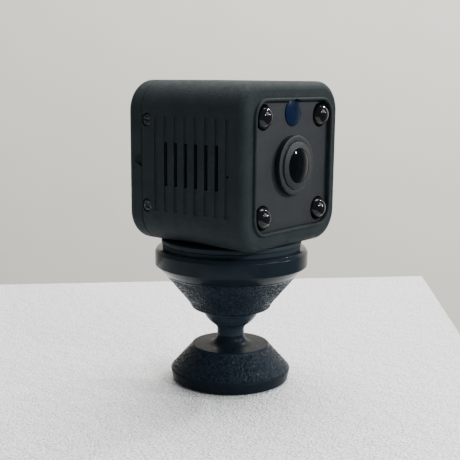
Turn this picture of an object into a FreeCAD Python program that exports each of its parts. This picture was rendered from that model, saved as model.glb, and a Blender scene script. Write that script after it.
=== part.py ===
import FreeCAD, Part
import os
import re

import Sketcher

# A cube camera on a ball-jointed magnetic stand.
# Millimetres, +Z up. The stand's axis is the Z axis and the foot rests on z = 0.
# The lens looks along -Y. The pieces inside the case are drawn in the case's own frame,
# whose origin is the middle of the case, and are moved to their place by case_shift and case_middle.

SIZES = {
    # case
    "case_width": 35.3,
    "case_depth": 32.5,
    "case_corner": 6.7,
    "case_wall": 1.4,
    "case_shift": -0.55,
    "case_middle": 51.25,
    "front_round": 2.0,
    "rear_round": 2.0,
    "seam": 11.8,
    "front_wall": 1.2,
    "opening_width": 27.2,
    "opening_height": 27.1,
    "opening_corner": 3.4,
    "lip_height": 0.6,
    "lip_width": 0.7,
    "lip_round": 0.32,
    "rail_front": -6.0,
    "rail_width": 1.2,
    "rail_inset": 0.3,
    "rail_gap": 0.05,
    # vents and side screws
    "groove_first": 7.5,
    "groove_pitch": 2.8,
    "groove_width": 1.0,
    "groove_depth": 0.2,
    "groove_height": 20.2,
    "slot_height": 9.3,
    "screw_row": 10.3,
    "screw_spread": 9.27,
    "screw_recess_radius": 1.475,
    "screw_recess_depth": 0.7,
    "screw_hole_radius": 0.85,
    "screw_head_radius": 1.25,
    "screw_head_height": 0.6,
    "screw_shank_radius": 0.7,
    "screw_length": 3.6,
    "boss_reach": 3.6,
    "boss_height": 3.8,
    "boss_front": 8.7,
    "boss_gap": 0.1,
    "pilot_radius": 0.7,
    # front panel
    "panel_recess": 0.5,
    "panel_flange": 0.8,
    "panel_gap": 0.1,
    "panel_width": 32.3,
    "panel_corner": 5.2,
    "lamp_offset": 10.4,
    "lamp_radius": 2.5,
    "lamp_hole_radius": 2.72,
    "lamp_reach": 1.9,
    "lamp_flange_radius": 2.9,
    "lamp_flange_height": 1.0,
    "lead_radius": 0.25,
    "lead_hole_radius": 0.27,
    "lead_offset": 1.27,
    "lead_end": 0.8,
    "window_height": 11.1,
    "window_radius": 2.85,
    "window_gap": 0.05,
    "window_proud": 0.55,
    "window_round": 0.45,
    "window_rod_radius": 1.9,
    "window_rod_gap": 0.8,
    "light_sensor_width": 2.0,
    "light_sensor_height": 1.6,
    "light_sensor_thickness": 0.6,
    "ribbon_width": 6.0,
    "ribbon_low": -13.1,
    "ribbon_thickness": 0.2,
    "lens_boss_radius": 6.4,
    "lens_boss_reach": 1.35,
    "lens_boss_round": 0.3,
    "post_radius": 1.2,
    "post_offset": 12.4,
    # lens
    "barrel_head_radius": 5.1,
    "barrel_proud": 0.4,
    "barrel_gap": 0.05,
    "barrel_lip": 0.2,
    "barrel_round": 0.25,
    "barrel_head_length": 4.8,
    "barrel_radius": 4.4,
    "barrel_bore_radius": 2.9,
    "barrel_end": -3.6,
    "glass_radius": 3.75,
    "glass_curve": 10.0,
    "glass_reach": 0.88,
    "glass_seat": -15.8,
    "glass_fit": 0.02,
    "middle_curve": 5.0,
    "middle_front": -11.6,
    "middle_back": -9.8,
    "rear_curve": 4.2,
    "rear_front": -6.4,
    "rear_back": -4.6,
    "holder_tube_radius": 6.0,
    "holder_tube_front": -8.0,
    "holder_width": 14.0,
    "holder_front": -4.8,
    "sensor_gap_width": 8.0,
    "sensor_gap_front": -3.4,
    "filter_width": 7.8,
    "filter_thickness": 0.4,
    "image_sensor_width": 6.0,
    "image_sensor_thickness": 0.9,
    # boards, at their places along Y
    "board_thickness": 1.0,
    "lamp_board_front": -9.3,
    "lamp_board_width": 30.0,
    "lamp_board_bore_radius": 7.2,
    "sensor_board_front": -1.4,
    "sensor_board_width": 28.0,
    "main_board_front": 7.2,
    "main_board_width": 29.0,
    "board_corner": 3.0,
    "spacer_offset": 12.0,
    "spacer_radius": 1.4,
    "board_screw_radius": 0.8,
    "board_screw_head_radius": 1.45,
    "board_screw_head_height": 0.8,
    "board_screw_reach": 3.0,
    "foam_width": 16.0,
    "foam_height": 20.0,
    "foam_thickness": 0.8,
    "battery_corner": 2.0,
    "header_width": 8.0,
    "header_low": 12.7,
    "header_height": 1.3,
    "processor_width": 9.0,
    "processor_low": -4.0,
    "processor_thickness": 1.1,
    "wifi_width": 11.0,
    "wifi_thickness": 2.0,
    "wifi_right": -2.5,
    "antenna_width": 20.0,
    "antenna_depth": 6.0,
    "antenna_thickness": 0.3,
    "keeper_width": 21.0,
    "keeper_thickness": 0.8,
    "battery_width": 20.0,
    "battery_height": 24.0,
    "battery_thickness": 5.0,
    # rear controls and sockets
    "control_height": 8.5,
    "control_offset": 7.0,
    "usb_height": -9.5,
    "usb_width": 8.94,
    "usb_tall": 3.26,
    "usb_wall": 0.3,
    "usb_clearance": 0.15,
    "usb_set_back": 0.3,
    "usb_floor": 1.3,
    "tongue_width": 6.7,
    "tongue_thickness": 0.7,
    "tongue_set_back": 0.6,
    "switch_width": 8.6,
    "switch_height": 4.4,
    "switch_depth": 4.7,
    "switch_travel": 2.0,
    "knob_width": 2.4,
    "knob_height": 1.9,
    "knob_proud": 0.6,
    "knob_side_gap": 0.1,
    "knob_gap": 0.08,
    "button_radius": 1.5,
    "button_clearance": 0.08,
    "button_proud": 0.4,
    "button_edge": 0.2,
    "button_collar": 0.7,
    "button_collar_front": 1.5,
    "button_collar_back": 0.5,
    "tact_width": 4.4,
    "tact_depth": 3.8,
    "tact_gap": 0.5,
    "status_radius": 0.9,
    "status_gap": 1.2,
    "status_chip_width": 1.6,
    "status_chip_height": 0.8,
    "card_slot_height": 11.8,
    "card_slot_width": 1.3,
    "card_slot_lift": 0.85,
    "card_slot_depth": 3.0,
    "card_cage_inner": 1.5,
    "card_cage_outer": 15.5,
    "card_cage_height": 12.0,
    "card_cage_thickness": 1.7,
    "notch_middle": 0.5,
    "notch_length": 2.2,
    "notch_depth": 0.9,
    "notch_half": 1.5,
    "notch_end_depth": 0.1,
    "notch_end_half": 0.4,
    "microphone_height": -1.5,
    "microphone_hole_radius": 0.4,
    "microphone_radius": 1.35,
    "microphone_thickness": 1.4,
    # stand
    "foot_base_radius": 13.5,
    "foot_radius": 14.0,
    "foot_widest": 2.7,
    "foot_top_radius": 8.85,
    "foot_top": 8.45,
    "foot_gap": 0.3,
    "foot_ceiling": 4.6,
    "foot_cavity_radius": 11.0,
    "pad_radius": 12.1,
    "pad_thickness": 1.1,
    "pad_gap": 0.1,
    "weight_bore_radius": 3.4,
    "weight_gap": 0.05,
    "foot_screw_head_radius": 2.3,
    "foot_screw_head_height": 1.4,
    "foot_screw_length": 6.0,
    "neck_radius": 3.15,
    "neck_fillet": 2.3,
    "spigot_radius": 2.0,
    "spigot_end": 5.2,
    "stud_thread_radius": 1.0,
    "stud_thread_top": 12.0,
    "ball_radius": 7.0,
    "ball_height": 19.0,
    "running_gap": 0.06,
    "liner_thickness": 0.6,
    "liner_top_angle": 14.0,
    "liner_low_angle": 58.0,
    "seat_radius": 8.35,
    "seat_low": -0.75,
    "seat_top": 8.0,
    "seat_hole_radius": 3.0,
    "cup_lip": 17.0,
    "cup_lip_flat": 7.6,
    "cup_round": 2.6,
    "cup_low_radius": 9.85,
    "cup_low": 18.8,
    "cup_top_radius": 15.5,
    "cup_top": 25.6,
    "cup_bore_radius": 8.4,
    "cup_shelf": 18.15,
    "hub_radius": 9.7,
    "pocket_floor": 21.2,
    "pocket_floor_radius": 10.1,
    "pocket_top_radius": 13.4,
    "cup_screw_circle": 10.9,
    "cup_boss_radius": 1.7,
    "cup_screw_radius": 0.75,
    "cup_screw_low": 22.8,
    "cup_screw_head_radius": 1.65,
    "cup_screw_head_height": 1.1,
    "cup_screw_clearance": 0.25,
    "cup_seat_radius": 1.75,
    "cup_seat_depth": 1.3,
    "cup_screw_sink": 0.2,
    "spring_radius": 8.2,
    "spring_bore_radius": 4.5,
    "spring_thickness": 0.25,
    "spring_rise": 0.4,
    "spring_gap": 0.03,
    "band_radius": 17.55,
    "band_low": 27.6,
    "band_high": 30.7,
    "band_round": 0.9,
    "spring_recess_radius": 8.6,
    "spring_recess_top": 27.7,
    "magnet_floor": 28.6,
    "magnet_radius": 12.9,
    "magnet_clearance": 0.1,
    "disc_radius": 16.05,
    # shared
    "edge_chamfer": 0.3,
    "overcut": 1.0,
    "screw_edge": 0.25,
}

CORNERS = [(-1, -1), (1, -1), (1, 1), (-1, 1)]
SIDES = (-1, 1)
GROOVES = 8
SLOTS = range(1, 7)
CUP_SCREWS = 3
CROSS_LENGTH = 0.62
CROSS_WIDTH = 0.13
CROSS_DEPTH = 0.62

doc = FreeCAD.newDocument("camera")
nodes = {}
places = {}


def make_sheet():
    sheet = doc.addObject("Spreadsheet::Sheet", "sizes")
    for row, (alias, number) in enumerate(SIZES.items(), start=1):
        sheet.set(f"A{row}", alias)
        sheet.set(f"B{row}", str(number))
        sheet.setAlias(f"B{row}", alias)
    doc.recompute()


def formula(text):
    """Writes a formula's size names as references to the sheet."""
    def as_reference(word):
        return "sizes." + word[0] if word[0] in SIZES else word[0]

    return re.sub(r"[a-z_]+", as_reference, str(text))


def bind(thing, **formulas):
    for path, text in formulas.items():
        thing.setExpression(path.replace("__", "."), formula(text))
    return thing


def value(text):
    """The number that a formula gives with the sheet's present sizes."""
    bind(probe, number=text)
    doc.recompute([probe])
    return probe.number


def locate(thing, x="0", y="0", z="0"):
    places[thing.Name] = (x, y, z)
    return bind(thing, Placement__Base__x=x, Placement__Base__y=y, Placement__Base__z=z)


def turn(thing, axis, degrees):
    thing.Placement.Rotation = FreeCAD.Rotation(FreeCAD.Vector(*axis), degrees)
    return thing


def node(name, thing):
    """Keeps a finished sub-part under the name of its file."""
    thing.Label = name
    nodes[name] = thing
    return thing


def case_node(name, thing):
    """Keeps a sub-part of the case, moved from the case's frame to the part's."""
    x, y, z = places.get(thing.Name, ("0", "0", "0"))
    locate(thing, x, f"{y} + case_shift", f"{z} + case_middle")
    return node(name, thing)


# Part primitives and booleans

def block(name, low, high):
    """A box between two corners, each a triple of formulas."""
    box = doc.addObject("Part::Box", name)
    spans = [f"({top}) - ({bottom})" for bottom, top in zip(low, high)]
    bind(box, Length=spans[0], Width=spans[1], Height=spans[2])
    return locate(box, *low)


def rod(name, radius, length, start, axis="z"):
    """A cylinder that runs from start along a positive axis."""
    cylinder = doc.addObject("Part::Cylinder", name)
    bind(cylinder, Radius=radius, Height=length)
    if axis == "x":
        turn(cylinder, (0, 1, 0), 90)
    if axis == "y":
        turn(cylinder, (1, 0, 0), -90)
    return locate(cylinder, *start)


def taper(name, y_low, y_high, left, right, middle, half):
    """A tapering bar along Y. The pairs give its left and right ends and half height at y_low and y_high."""
    bar = doc.addObject("Part::Wedge", name)
    bind(bar, Ymin=y_low, Ymax=y_high, Xmin=left[0], X2min=left[1], Xmax=right[0], X2max=right[1],
         Zmin=f"{middle} - {half[0]}", Z2min=f"{middle} - {half[1]}",
         Zmax=f"{middle} + {half[0]}", Z2max=f"{middle} + {half[1]}")
    return bar


def join(name, *things):
    fuse = doc.addObject("Part::MultiFuse", name)
    fuse.Shapes = list(things)
    return fuse


def bundle(name, *things):
    compound = doc.addObject("Part::Compound", name)
    compound.Links = list(things)
    return compound


def cut(name, base, *tools):
    result = doc.addObject("Part::Cut", name)
    result.Base = base
    result.Tool = tools[0] if len(tools) == 1 else join(name + "_tools", *tools)
    return result


def oval(name, width, height, y_low, y_high, x="0", z="0"):
    """A bar along Y with a straight-sided oval section, round at its left and right ends."""
    radius = f"({height})/2"
    reach = f"(({width}) - ({height}))/2"
    middle = block(name + "_middle", (f"{x} - {reach}", y_low, f"{z} - {radius}"),
                   (f"{x} + {reach}", y_high, f"{z} + {radius}"))
    ends = [rod(f"{name}_end", radius, f"({y_high}) - ({y_low})",
                (f"{x} {sign} {reach}", y_low, z), "y") for sign in "-+"]
    return join(name, middle, *ends)


# PartDesign bodies

def new_sketch(body, name, plane, offset="0"):
    sketch = body.newObject("Sketcher::SketchObject", name)
    support = [item for item in body.Origin.OriginFeatures if item.Role == plane]
    sketch.AttachmentSupport = [(support[0], "")]
    sketch.MapMode = "FlatFace"
    return bind(sketch, AttachmentOffset__Base__z=offset)


def constrain(sketch, text, kind, *where):
    """A dimension whose size is a formula."""
    index = sketch.addConstraint(Sketcher.Constraint(kind, *where, value(text)))
    sketch.setExpression(f"Constraints[{index}]", formula(text))


def outline(sketch, points):
    """A closed outline. A point is (x, y), or (x, y, radius) where an arc runs on to the next one.

    The arc bulges to the right of its chord, or to the left if its radius starts with a minus.
    """
    spots = [FreeCAD.Vector(value(p[0]), value(p[1]), 0) for p in points]
    count = len(points)
    for index, point in enumerate(points):
        start, end = spots[index], spots[(index + 1) % count]
        if len(point) == 2:
            sketch.addGeometry(Part.LineSegment(start, end), False)
            continue
        radius = value(point[2])
        chord = end - start
        normal = FreeCAD.Vector(chord.y, -chord.x, 0).normalize()
        side = 1 if radius > 0 else -1
        inset = (radius ** 2 - chord.Length ** 2 / 4) ** 0.5
        middle = start + chord * 0.5 + normal * side * (abs(radius) - inset)
        sketch.addGeometry(Part.Arc(start, middle, end), False)
    starts, ends = [], []
    for index, point in enumerate(points):
        flipped = len(point) == 3 and value(point[2]) < 0
        starts.append(2 if flipped else 1)
        ends.append(1 if flipped else 2)
    for index in range(count):
        following = (index + 1) % count
        sketch.addConstraint(
            Sketcher.Constraint("Coincident", index, ends[index], following, starts[following]))
    for index, point in enumerate(points):
        constrain(sketch, point[0], "DistanceX", -1, 1, index, starts[index])
        constrain(sketch, point[1], "DistanceY", -1, 1, index, starts[index])
        if len(point) == 3:
            constrain(sketch, point[2].lstrip("-"), "Radius", index)


def turned(name, points, axis="z"):
    """A body of revolution. The outline's points are (radius, place along the axis)."""
    body = doc.addObject("PartDesign::Body", name)
    sketch = new_sketch(body, name + "_profile", "XZ_Plane" if axis == "z" else "XY_Plane")
    outline(sketch, points)
    revolution = body.newObject("PartDesign::Revolution", name + "_turning")
    revolution.Profile = sketch
    revolution.ReferenceAxis = (sketch, ["V_Axis"])
    revolution.Angle = 360
    doc.recompute()
    return body


def rounded_outline(sketch, width, height, corner):
    """A rectangle about the sketch's origin with four equal round corners."""
    half_x, half_y = f"({width})/2", f"({height})/2"
    in_x, in_y = f"({half_x} - {corner})", f"({half_y} - {corner})"
    outline(sketch, [
        (f"-{in_x}", f"-{half_y}"), (in_x, f"-{half_y}", corner),
        (half_x, f"-{in_y}"), (half_x, in_y, corner),
        (in_x, half_y), (f"-{in_x}", half_y, corner),
        (f"-{half_x}", in_y), (f"-{half_x}", f"-{in_y}", corner)])


def slab(name, width, height, corner, y_low, y_high):
    """A round-cornered plate or bar across the Y axis."""
    body = doc.addObject("PartDesign::Body", name)
    sketch = new_sketch(body, name + "_outline", "XZ_Plane", f"-({y_high})")
    rounded_outline(sketch, width, height, corner)
    pad = body.newObject("PartDesign::Pad", name + "_pad")
    pad.Profile = sketch
    bind(pad, Length=f"({y_high}) - ({y_low})")
    doc.recompute()
    return body


def hollow(body, name, width, height, corner, y_low, y_high):
    """Cuts a round-cornered pocket that runs from y_low to y_high."""
    before = body.Shape.Volume
    sketch = new_sketch(body, name + "_outline", "XZ_Plane", f"-({y_low})")
    rounded_outline(sketch, width, height, corner)
    pocket = body.newObject("PartDesign::Pocket", name)
    pocket.Profile = sketch
    bind(pocket, Length=f"({y_high}) - ({y_low})")
    doc.recompute()
    if body.Shape.Volume >= before:
        raise RuntimeError(f"{name} cuts nothing")


def raise_frame(body, name, width, height, corner, y, thickness):
    """Adds a round-cornered plate in front of the face at y."""
    sketch = new_sketch(body, name + "_outline", "XZ_Plane", f"-({y})")
    rounded_outline(sketch, width, height, corner)
    pad = body.newObject("PartDesign::Pad", name)
    pad.Profile = sketch
    bind(pad, Length=thickness)
    doc.recompute()


def round_edges(body, name, radius, y):
    """Fillets every edge that lies in the plane at y."""
    place = value(y)
    tip = body.Tip
    edges = [f"Edge{number}" for number, edge in enumerate(tip.Shape.Edges, start=1)
             if abs(edge.BoundBox.YMin - place) < 0.01 and abs(edge.BoundBox.YMax - place) < 0.01]
    fillet = body.newObject("PartDesign::Fillet", name)
    fillet.Base = (tip, edges)
    bind(fillet, Radius=radius)
    doc.recompute()


def plate(name, width, y_low, holes=()):
    """A square circuit board with round holes, each (x, z, radius)."""
    body = slab(name + "_sheet", width, width, "board_corner", y_low, f"{y_low} + board_thickness")
    drills = [rod(f"{name}_hole", radius, "board_thickness + 2*overcut", (x, f"{y_low} - overcut", z), "y")
              for x, z, radius in holes]
    return cut(name, body, *drills) if drills else body


def screw(name, head_radius, head_height, shank_radius, length):
    """A cross-head screw along Z: the head's top is at z = 0 and the shank runs down."""
    shape = turned(name + "_blank", [
        ("0", "0"), (f"{head_radius} - screw_edge", "0"), (head_radius, "-screw_edge"),
        (head_radius, f"-({head_height})"), (shank_radius, f"-({head_height})"),
        (shank_radius, f"-({head_height}) - ({length})"), ("0", f"-({head_height}) - ({length})")])
    wide, narrow = f"{head_radius}*{CROSS_LENGTH}", f"{head_radius}*{CROSS_WIDTH}"
    deep = f"-({head_height})*{CROSS_DEPTH}"
    bars = [block(name + "_cross", (f"-{a}", f"-{b}", deep), (a, b, "overcut"))
            for a, b in ((wide, narrow), (narrow, wide))]
    return cut(name, shape, *bars)


# Stand

def make_foot():
    neck = "foot_top + neck_fillet"
    node("foot_shell", turned("foot_shell_body", [
        ("foot_base_radius", "foot_gap"), ("foot_radius", "foot_widest"),
        ("foot_top_radius", "foot_top"), ("neck_radius + neck_fillet", "foot_top", "-neck_fillet"),
        ("neck_radius", neck), ("spigot_radius", neck),
        ("spigot_radius", "foot_ceiling"), ("foot_cavity_radius", "foot_ceiling"),
        ("foot_cavity_radius", "pad_thickness"), ("pad_radius + pad_gap", "pad_thickness"),
        ("pad_radius + pad_gap", "foot_gap")]))
    joint = "ball_height - sqrt(ball_radius*ball_radius - neck_radius*neck_radius)"
    node("ball_stud", turned("ball_stud_body", [
        ("stud_thread_radius", "spigot_end"), ("spigot_radius", "spigot_end"),
        ("spigot_radius", neck), ("neck_radius", neck), ("neck_radius", joint, "ball_radius"),
        ("ball_radius", "ball_height", "ball_radius"), ("0", "ball_height + ball_radius"),
        ("0", "stud_thread_top"), ("stud_thread_radius", "stud_thread_top")]))
    node("foot_pad", turned("foot_pad_body", [
        ("0", "0"), ("pad_radius - edge_chamfer", "0"), ("pad_radius", "edge_chamfer"),
        ("pad_radius", "pad_thickness"), ("0", "pad_thickness")]))
    node("foot_weight", turned("foot_weight_body", [
        ("weight_bore_radius", "pad_thickness + weight_gap"),
        ("foot_cavity_radius - weight_gap", "pad_thickness + weight_gap"),
        ("foot_cavity_radius - weight_gap", "foot_ceiling - weight_gap"),
        ("weight_bore_radius", "foot_ceiling - weight_gap")]))
    fixing = screw("foot_screw_part", "foot_screw_head_radius", "foot_screw_head_height",
                   "stud_thread_radius", "foot_screw_length")
    turn(fixing, (1, 0, 0), 180)
    node("foot_screw", locate(fixing, "0", "0", "foot_ceiling - foot_screw_head_height"))


def make_ball_joint():
    inner = "(ball_radius + running_gap)"
    outer = f"({inner} + liner_thickness)"
    top, low = "liner_top_angle", "liner_low_angle"

    def at(radius, angle):
        return f"{radius}*sin({angle})", f"{radius}*cos({angle})"

    liner = turned("ball_liner_body", [
        at(inner, top), (*at(outer, top), f"-{outer}"), at(outer, low),
        (*at(inner, low), inner)])
    node("ball_liner", locate(liner, z="ball_height"))
    bowl = f"({outer} + running_gap)"
    seat = turned("ball_seat_body", [
        (f"sqrt({bowl}*{bowl} - seat_low*seat_low)", "seat_low"), ("seat_radius", "seat_low"),
        ("seat_radius", "seat_top"), ("seat_hole_radius", "seat_top"),
        ("seat_hole_radius", f"sqrt({bowl}*{bowl} - seat_hole_radius*seat_hole_radius)",
         f"-{bowl}")])
    node("ball_seat", locate(seat, z="ball_height"))


def round_of_rods(name, radius, length, z):
    """Upright cylinders on the cup's screw circle, evenly spaced."""
    rods = []
    for number in range(CUP_SCREWS):
        angle = 360 / CUP_SCREWS * number + 30
        place = (f"cup_screw_circle*cos({angle})", f"cup_screw_circle*sin({angle})", z)
        rods.append(rod(name, radius, length, place))
    return rods


def make_cup():
    grip = "(ball_radius + running_gap)"
    lip_drop, shelf_drop = "(ball_height - cup_lip)", "(ball_height - cup_shelf)"
    body = turned("cup_body", [
        (f"sqrt({grip}*{grip} - {lip_drop}*{lip_drop})", "cup_lip"),
        ("cup_lip_flat", "cup_lip", "cup_round"), ("cup_low_radius", "cup_low"),
        ("cup_top_radius", "cup_top"), ("cup_bore_radius", "cup_top"),
        ("cup_bore_radius", "cup_shelf"),
        (f"sqrt({grip}*{grip} - {shelf_drop}*{shelf_drop})", "cup_shelf", f"-{grip}")])
    ring = turned("cup_pocket_ring", [
        ("hub_radius", "cup_top"), ("hub_radius", "pocket_floor"),
        ("pocket_floor_radius", "pocket_floor"), ("pocket_top_radius", "cup_top")])
    bosses = round_of_rods("cup_boss", "cup_boss_radius", "cup_top - cup_lip", "cup_lip")
    pilots = round_of_rods("cup_pilot", "cup_screw_radius", "cup_top - cup_screw_low", "cup_screw_low")
    pocket = cut("cup_pocket", ring, *bosses)
    node("cup_shell", cut("cup_shell_part", body, pocket, *pilots))

    top = "band_high + band_round"
    housing = turned("magnet_housing_body", [
        ("cup_top_radius", "cup_top"), ("band_radius", "band_low"),
        ("band_radius", "band_high", "band_round"), ("band_radius - band_round", top),
        ("magnet_radius + magnet_clearance", top), ("magnet_radius + magnet_clearance", "magnet_floor"),
        ("0", "magnet_floor"), ("0", "spring_recess_top"),
        ("spring_recess_radius", "spring_recess_top"), ("spring_recess_radius", "cup_top")])
    seat_floor = "(magnet_floor - cup_seat_depth)"
    holes = round_of_rods("housing_hole", "cup_screw_radius + cup_screw_clearance",
                          "magnet_floor - cup_top + overcut", "cup_top - overcut/2")
    seats = round_of_rods("housing_seat", "cup_seat_radius", "cup_seat_depth + overcut/2", seat_floor)
    node("magnet_housing", cut("magnet_housing_part", housing, *holes, *seats))

    screws = []
    for hole in round_of_rods("cup_screw_axis", "overcut", "overcut", "magnet_floor - cup_screw_sink"):
        one = screw("cup_screw", "cup_screw_head_radius", "cup_screw_head_height", "cup_screw_radius",
                    f"{seat_floor} - cup_screw_low")
        screws.append(locate(one, *places[hole.Name]))
        doc.removeObject(hole.Name)
    node("cup_screws", bundle("cup_screw_set", *screws))

    spring = "(seat_top + ball_height + spring_gap)"
    node("disc_spring", turned("disc_spring_body", [
        ("spring_radius", spring), ("spring_radius", f"{spring} + spring_thickness"),
        ("spring_bore_radius", f"{spring} + spring_rise + spring_thickness"),
        ("spring_bore_radius", f"{spring} + spring_rise")]))
    node("stand_magnet", turned("stand_magnet_body", [
        ("0", "magnet_floor"), ("magnet_radius", "magnet_floor"),
        ("magnet_radius", f"{top} - edge_chamfer"), ("magnet_radius - edge_chamfer", top), ("0", top)]))
    rest = "case_middle - case_width/2"
    node("mount_disc", turned("mount_disc_body", [
        ("0", top), ("disc_radius", top), ("disc_radius", f"{rest} - edge_chamfer"),
        ("disc_radius - edge_chamfer", rest), ("0", rest)]))


# Case

FRONT = "(-case_depth/2)"
BACK = "case_depth/2"
PANEL = "(-case_depth/2 + panel_recess)"
LEDGE = "(-case_depth/2 + front_wall)"
PANEL_BACK = "(-case_depth/2 + front_wall + panel_flange)"
INSIDE = "(case_width - 2*case_wall)"
INSIDE_CORNER = "(case_corner - case_wall)"


def side_span(side, outside, inside):
    """The two x places of a piece that starts outside a side wall and ends inside it."""
    ends = (f"({inside})", f"({outside})") if side > 0 else (f"-({outside})", f"-({inside})")
    return ends


def side_drills(name, radius, depth):
    """Four holes along X, one for each side screw, that reach depth in from the side face."""
    drills = []
    for side in SIDES:
        low, high = side_span(side, "case_width/2 + overcut", f"case_width/2 - ({depth})")
        for sign in "-+":
            start = (low, "screw_row", f"0 {sign} screw_spread")
            drills.append(rod(name, radius, f"({high}) - ({low})", start, "x"))
    return drills


def make_housing():
    body = slab("housing_body", "case_width", "case_width", "case_corner", FRONT, "seam")
    round_edges(body, "housing_round", "front_round", FRONT)
    raise_frame(body, "housing_lip", "opening_width + 2*lip_width", "opening_height + 2*lip_width",
                "opening_corner + lip_width", FRONT, "lip_height")
    hollow(body, "housing_cavity", INSIDE, INSIDE, INSIDE_CORNER, LEDGE, "seam + overcut")
    hollow(body, "housing_opening", "opening_width", "opening_height", "opening_corner",
           f"{FRONT} - lip_height - overcut", f"{LEDGE} + overcut")
    round_edges(body, "housing_lip_round", "lip_round", f"{FRONT} - lip_height")
    tools = []
    for side in SIDES:
        low, high = side_span(side, "case_width/2 + overcut", "case_width/2 - groove_depth")
        for number in range(GROOVES):
            middle = f"(groove_first - groove_pitch*{number})"
            near, far = f"{middle} - groove_width/2", f"{middle} + groove_width/2"
            tools.append(block("groove", (low, near, "-groove_height/2"),
                               (high, far, "groove_height/2")))
            if number in SLOTS:
                slot_low, slot_high = side_span(side, "case_width/2 + overcut",
                                                "case_width/2 - case_wall - overcut")
                tools.append(block("vent_slot", (slot_low, near, "-slot_height/2"),
                                   (slot_high, far, "slot_height/2")))
    tools += side_drills("side_recess", "screw_recess_radius", "screw_recess_depth")
    tools += side_drills("side_hole", "screw_hole_radius", "case_wall + overcut")
    last_groove = f"groove_first - groove_pitch*{GROOVES - 1}"
    tools.append(rod("microphone_hole", "microphone_hole_radius", "case_wall + 2*overcut",
                     ("-case_width/2 - overcut", last_groove, "microphone_height"), "x"))
    slot_middle = "(main_board_front + board_thickness + card_slot_lift)"
    tools.append(block("card_slot", ("case_width/2 - card_slot_depth", f"{slot_middle} - card_slot_width/2",
                                     "-card_slot_height/2"),
                       ("case_width/2 + overcut", f"{slot_middle} + card_slot_width/2",
                        "card_slot_height/2")))
    tools.append(rod("window_relief", "window_radius + window_gap", "lip_height + front_wall + 2*overcut",
                     ("0", f"{FRONT} - lip_height - overcut", "window_height"), "y"))
    shell = cut("housing_cut", body, *tools)
    rails = []
    for right, up in CORNERS:
        x = f"({right}*(spacer_offset + rail_inset))"
        inner, outer = "main_board_width/2 + rail_gap", f"{INSIDE}/2 + rail_inset"
        low, high = (inner, outer) if up > 0 else (f"-({outer})", f"-({inner})")
        rails.append(block("board_rail", (f"{x} - rail_width/2", "rail_front", low),
                           (f"{x} + rail_width/2", "main_board_front", high)))
    case_node("housing_shell", join("housing_shell_part", shell, *rails))


def make_front_panel():
    flange = slab("panel_flange_plate", "panel_width", "panel_width", "panel_corner", LEDGE, PANEL_BACK)
    table = slab("panel_table", "opening_width - 2*panel_gap", "opening_height - 2*panel_gap",
                 "opening_corner - panel_gap", PANEL, PANEL_BACK)
    boss_front = f"({PANEL} - lens_boss_reach)"
    boss = turned("lens_boss", [
        ("0", LEDGE), ("0", boss_front),
        ("lens_boss_radius - lens_boss_round", boss_front, "lens_boss_round"),
        ("lens_boss_radius", f"{boss_front} + lens_boss_round"), ("lens_boss_radius", LEDGE)], "y")
    posts = [rod("panel_post", "post_radius", f"lamp_board_front - {LEDGE}", (x, LEDGE, z), "y")
             for x, z in (("-post_offset", "0"), ("post_offset", "0"), ("0", "-post_offset"))]
    through = f"{PANEL_BACK} - {boss_front} + 2*overcut"
    start = f"{boss_front} - overcut"
    drills = [rod("lens_hole", "barrel_head_radius + barrel_gap", through, ("0", start, "0"), "y"),
              rod("window_hole", "window_radius", through, ("0", start, "window_height"), "y")]
    for right, up in CORNERS:
        drills.append(rod("lamp_hole", "lamp_hole_radius", through,
                          (f"{right}*lamp_offset", start, f"{up}*lamp_offset"), "y"))
    solid = join("panel_solid", flange, table, boss, *posts)
    case_node("front_panel", cut("front_panel_part", solid, *drills))

    window_front = f"({PANEL} - window_proud)"
    window = turned("light_window_body", [
        ("0", window_front), ("window_radius - window_round", window_front, "window_round"),
        ("window_radius", f"{window_front} + window_round"), ("window_radius", PANEL_BACK),
        ("window_rod_radius", PANEL_BACK), ("window_rod_radius", "lamp_board_front - window_rod_gap"),
        ("0", "lamp_board_front - window_rod_gap")], "y")
    case_node("light_window", locate(window, z="window_height"))


def make_lamps():
    tip = f"({PANEL} - lamp_reach)"
    lamps, leads = [], []
    for right, up in CORNERS:
        x, z = f"({right}*lamp_offset)", f"({up}*lamp_offset)"
        lamp = turned("ir_lamp", [
            ("0", tip, "lamp_radius"), ("lamp_radius", f"{tip} + lamp_radius"),
            ("lamp_radius", "lamp_board_front - lamp_flange_height"),
            ("lamp_flange_radius", "lamp_board_front - lamp_flange_height"),
            ("lamp_flange_radius", "lamp_board_front"), ("0", "lamp_board_front")], "y")
        lamps.append(locate(lamp, x, "0", z))
        for sign in "-+":
            leads.append(rod("ir_lead", "lead_radius", "board_thickness + lead_end",
                             (f"{x} {sign} lead_offset", "lamp_board_front", z), "y"))
    case_node("ir_lamps", bundle("ir_lamp_set", *lamps))
    case_node("ir_lamp_leads", bundle("ir_lead_set", *leads))
    holes = [(f"{right}*lamp_offset {sign} lead_offset", f"{up}*lamp_offset", "lead_hole_radius")
             for right, up in CORNERS for sign in "-+"]
    board = plate("lamp_board_part", "lamp_board_width", "lamp_board_front",
                  [("0", "0", "lamp_board_bore_radius"), *holes])
    case_node("lamp_board", board)
    case_node("light_sensor", block(
        "light_sensor_chip",
        ("-light_sensor_width/2", "lamp_board_front - light_sensor_thickness",
         "window_height - light_sensor_height/2"),
        ("light_sensor_width/2", "lamp_board_front", "window_height + light_sensor_height/2")))
    case_node("lamp_ribbon", block(
        "ribbon", ("-ribbon_width/2", "lamp_board_front + board_thickness", "ribbon_low"),
        ("ribbon_width/2", "sensor_board_front", "ribbon_low + ribbon_thickness")))


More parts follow.
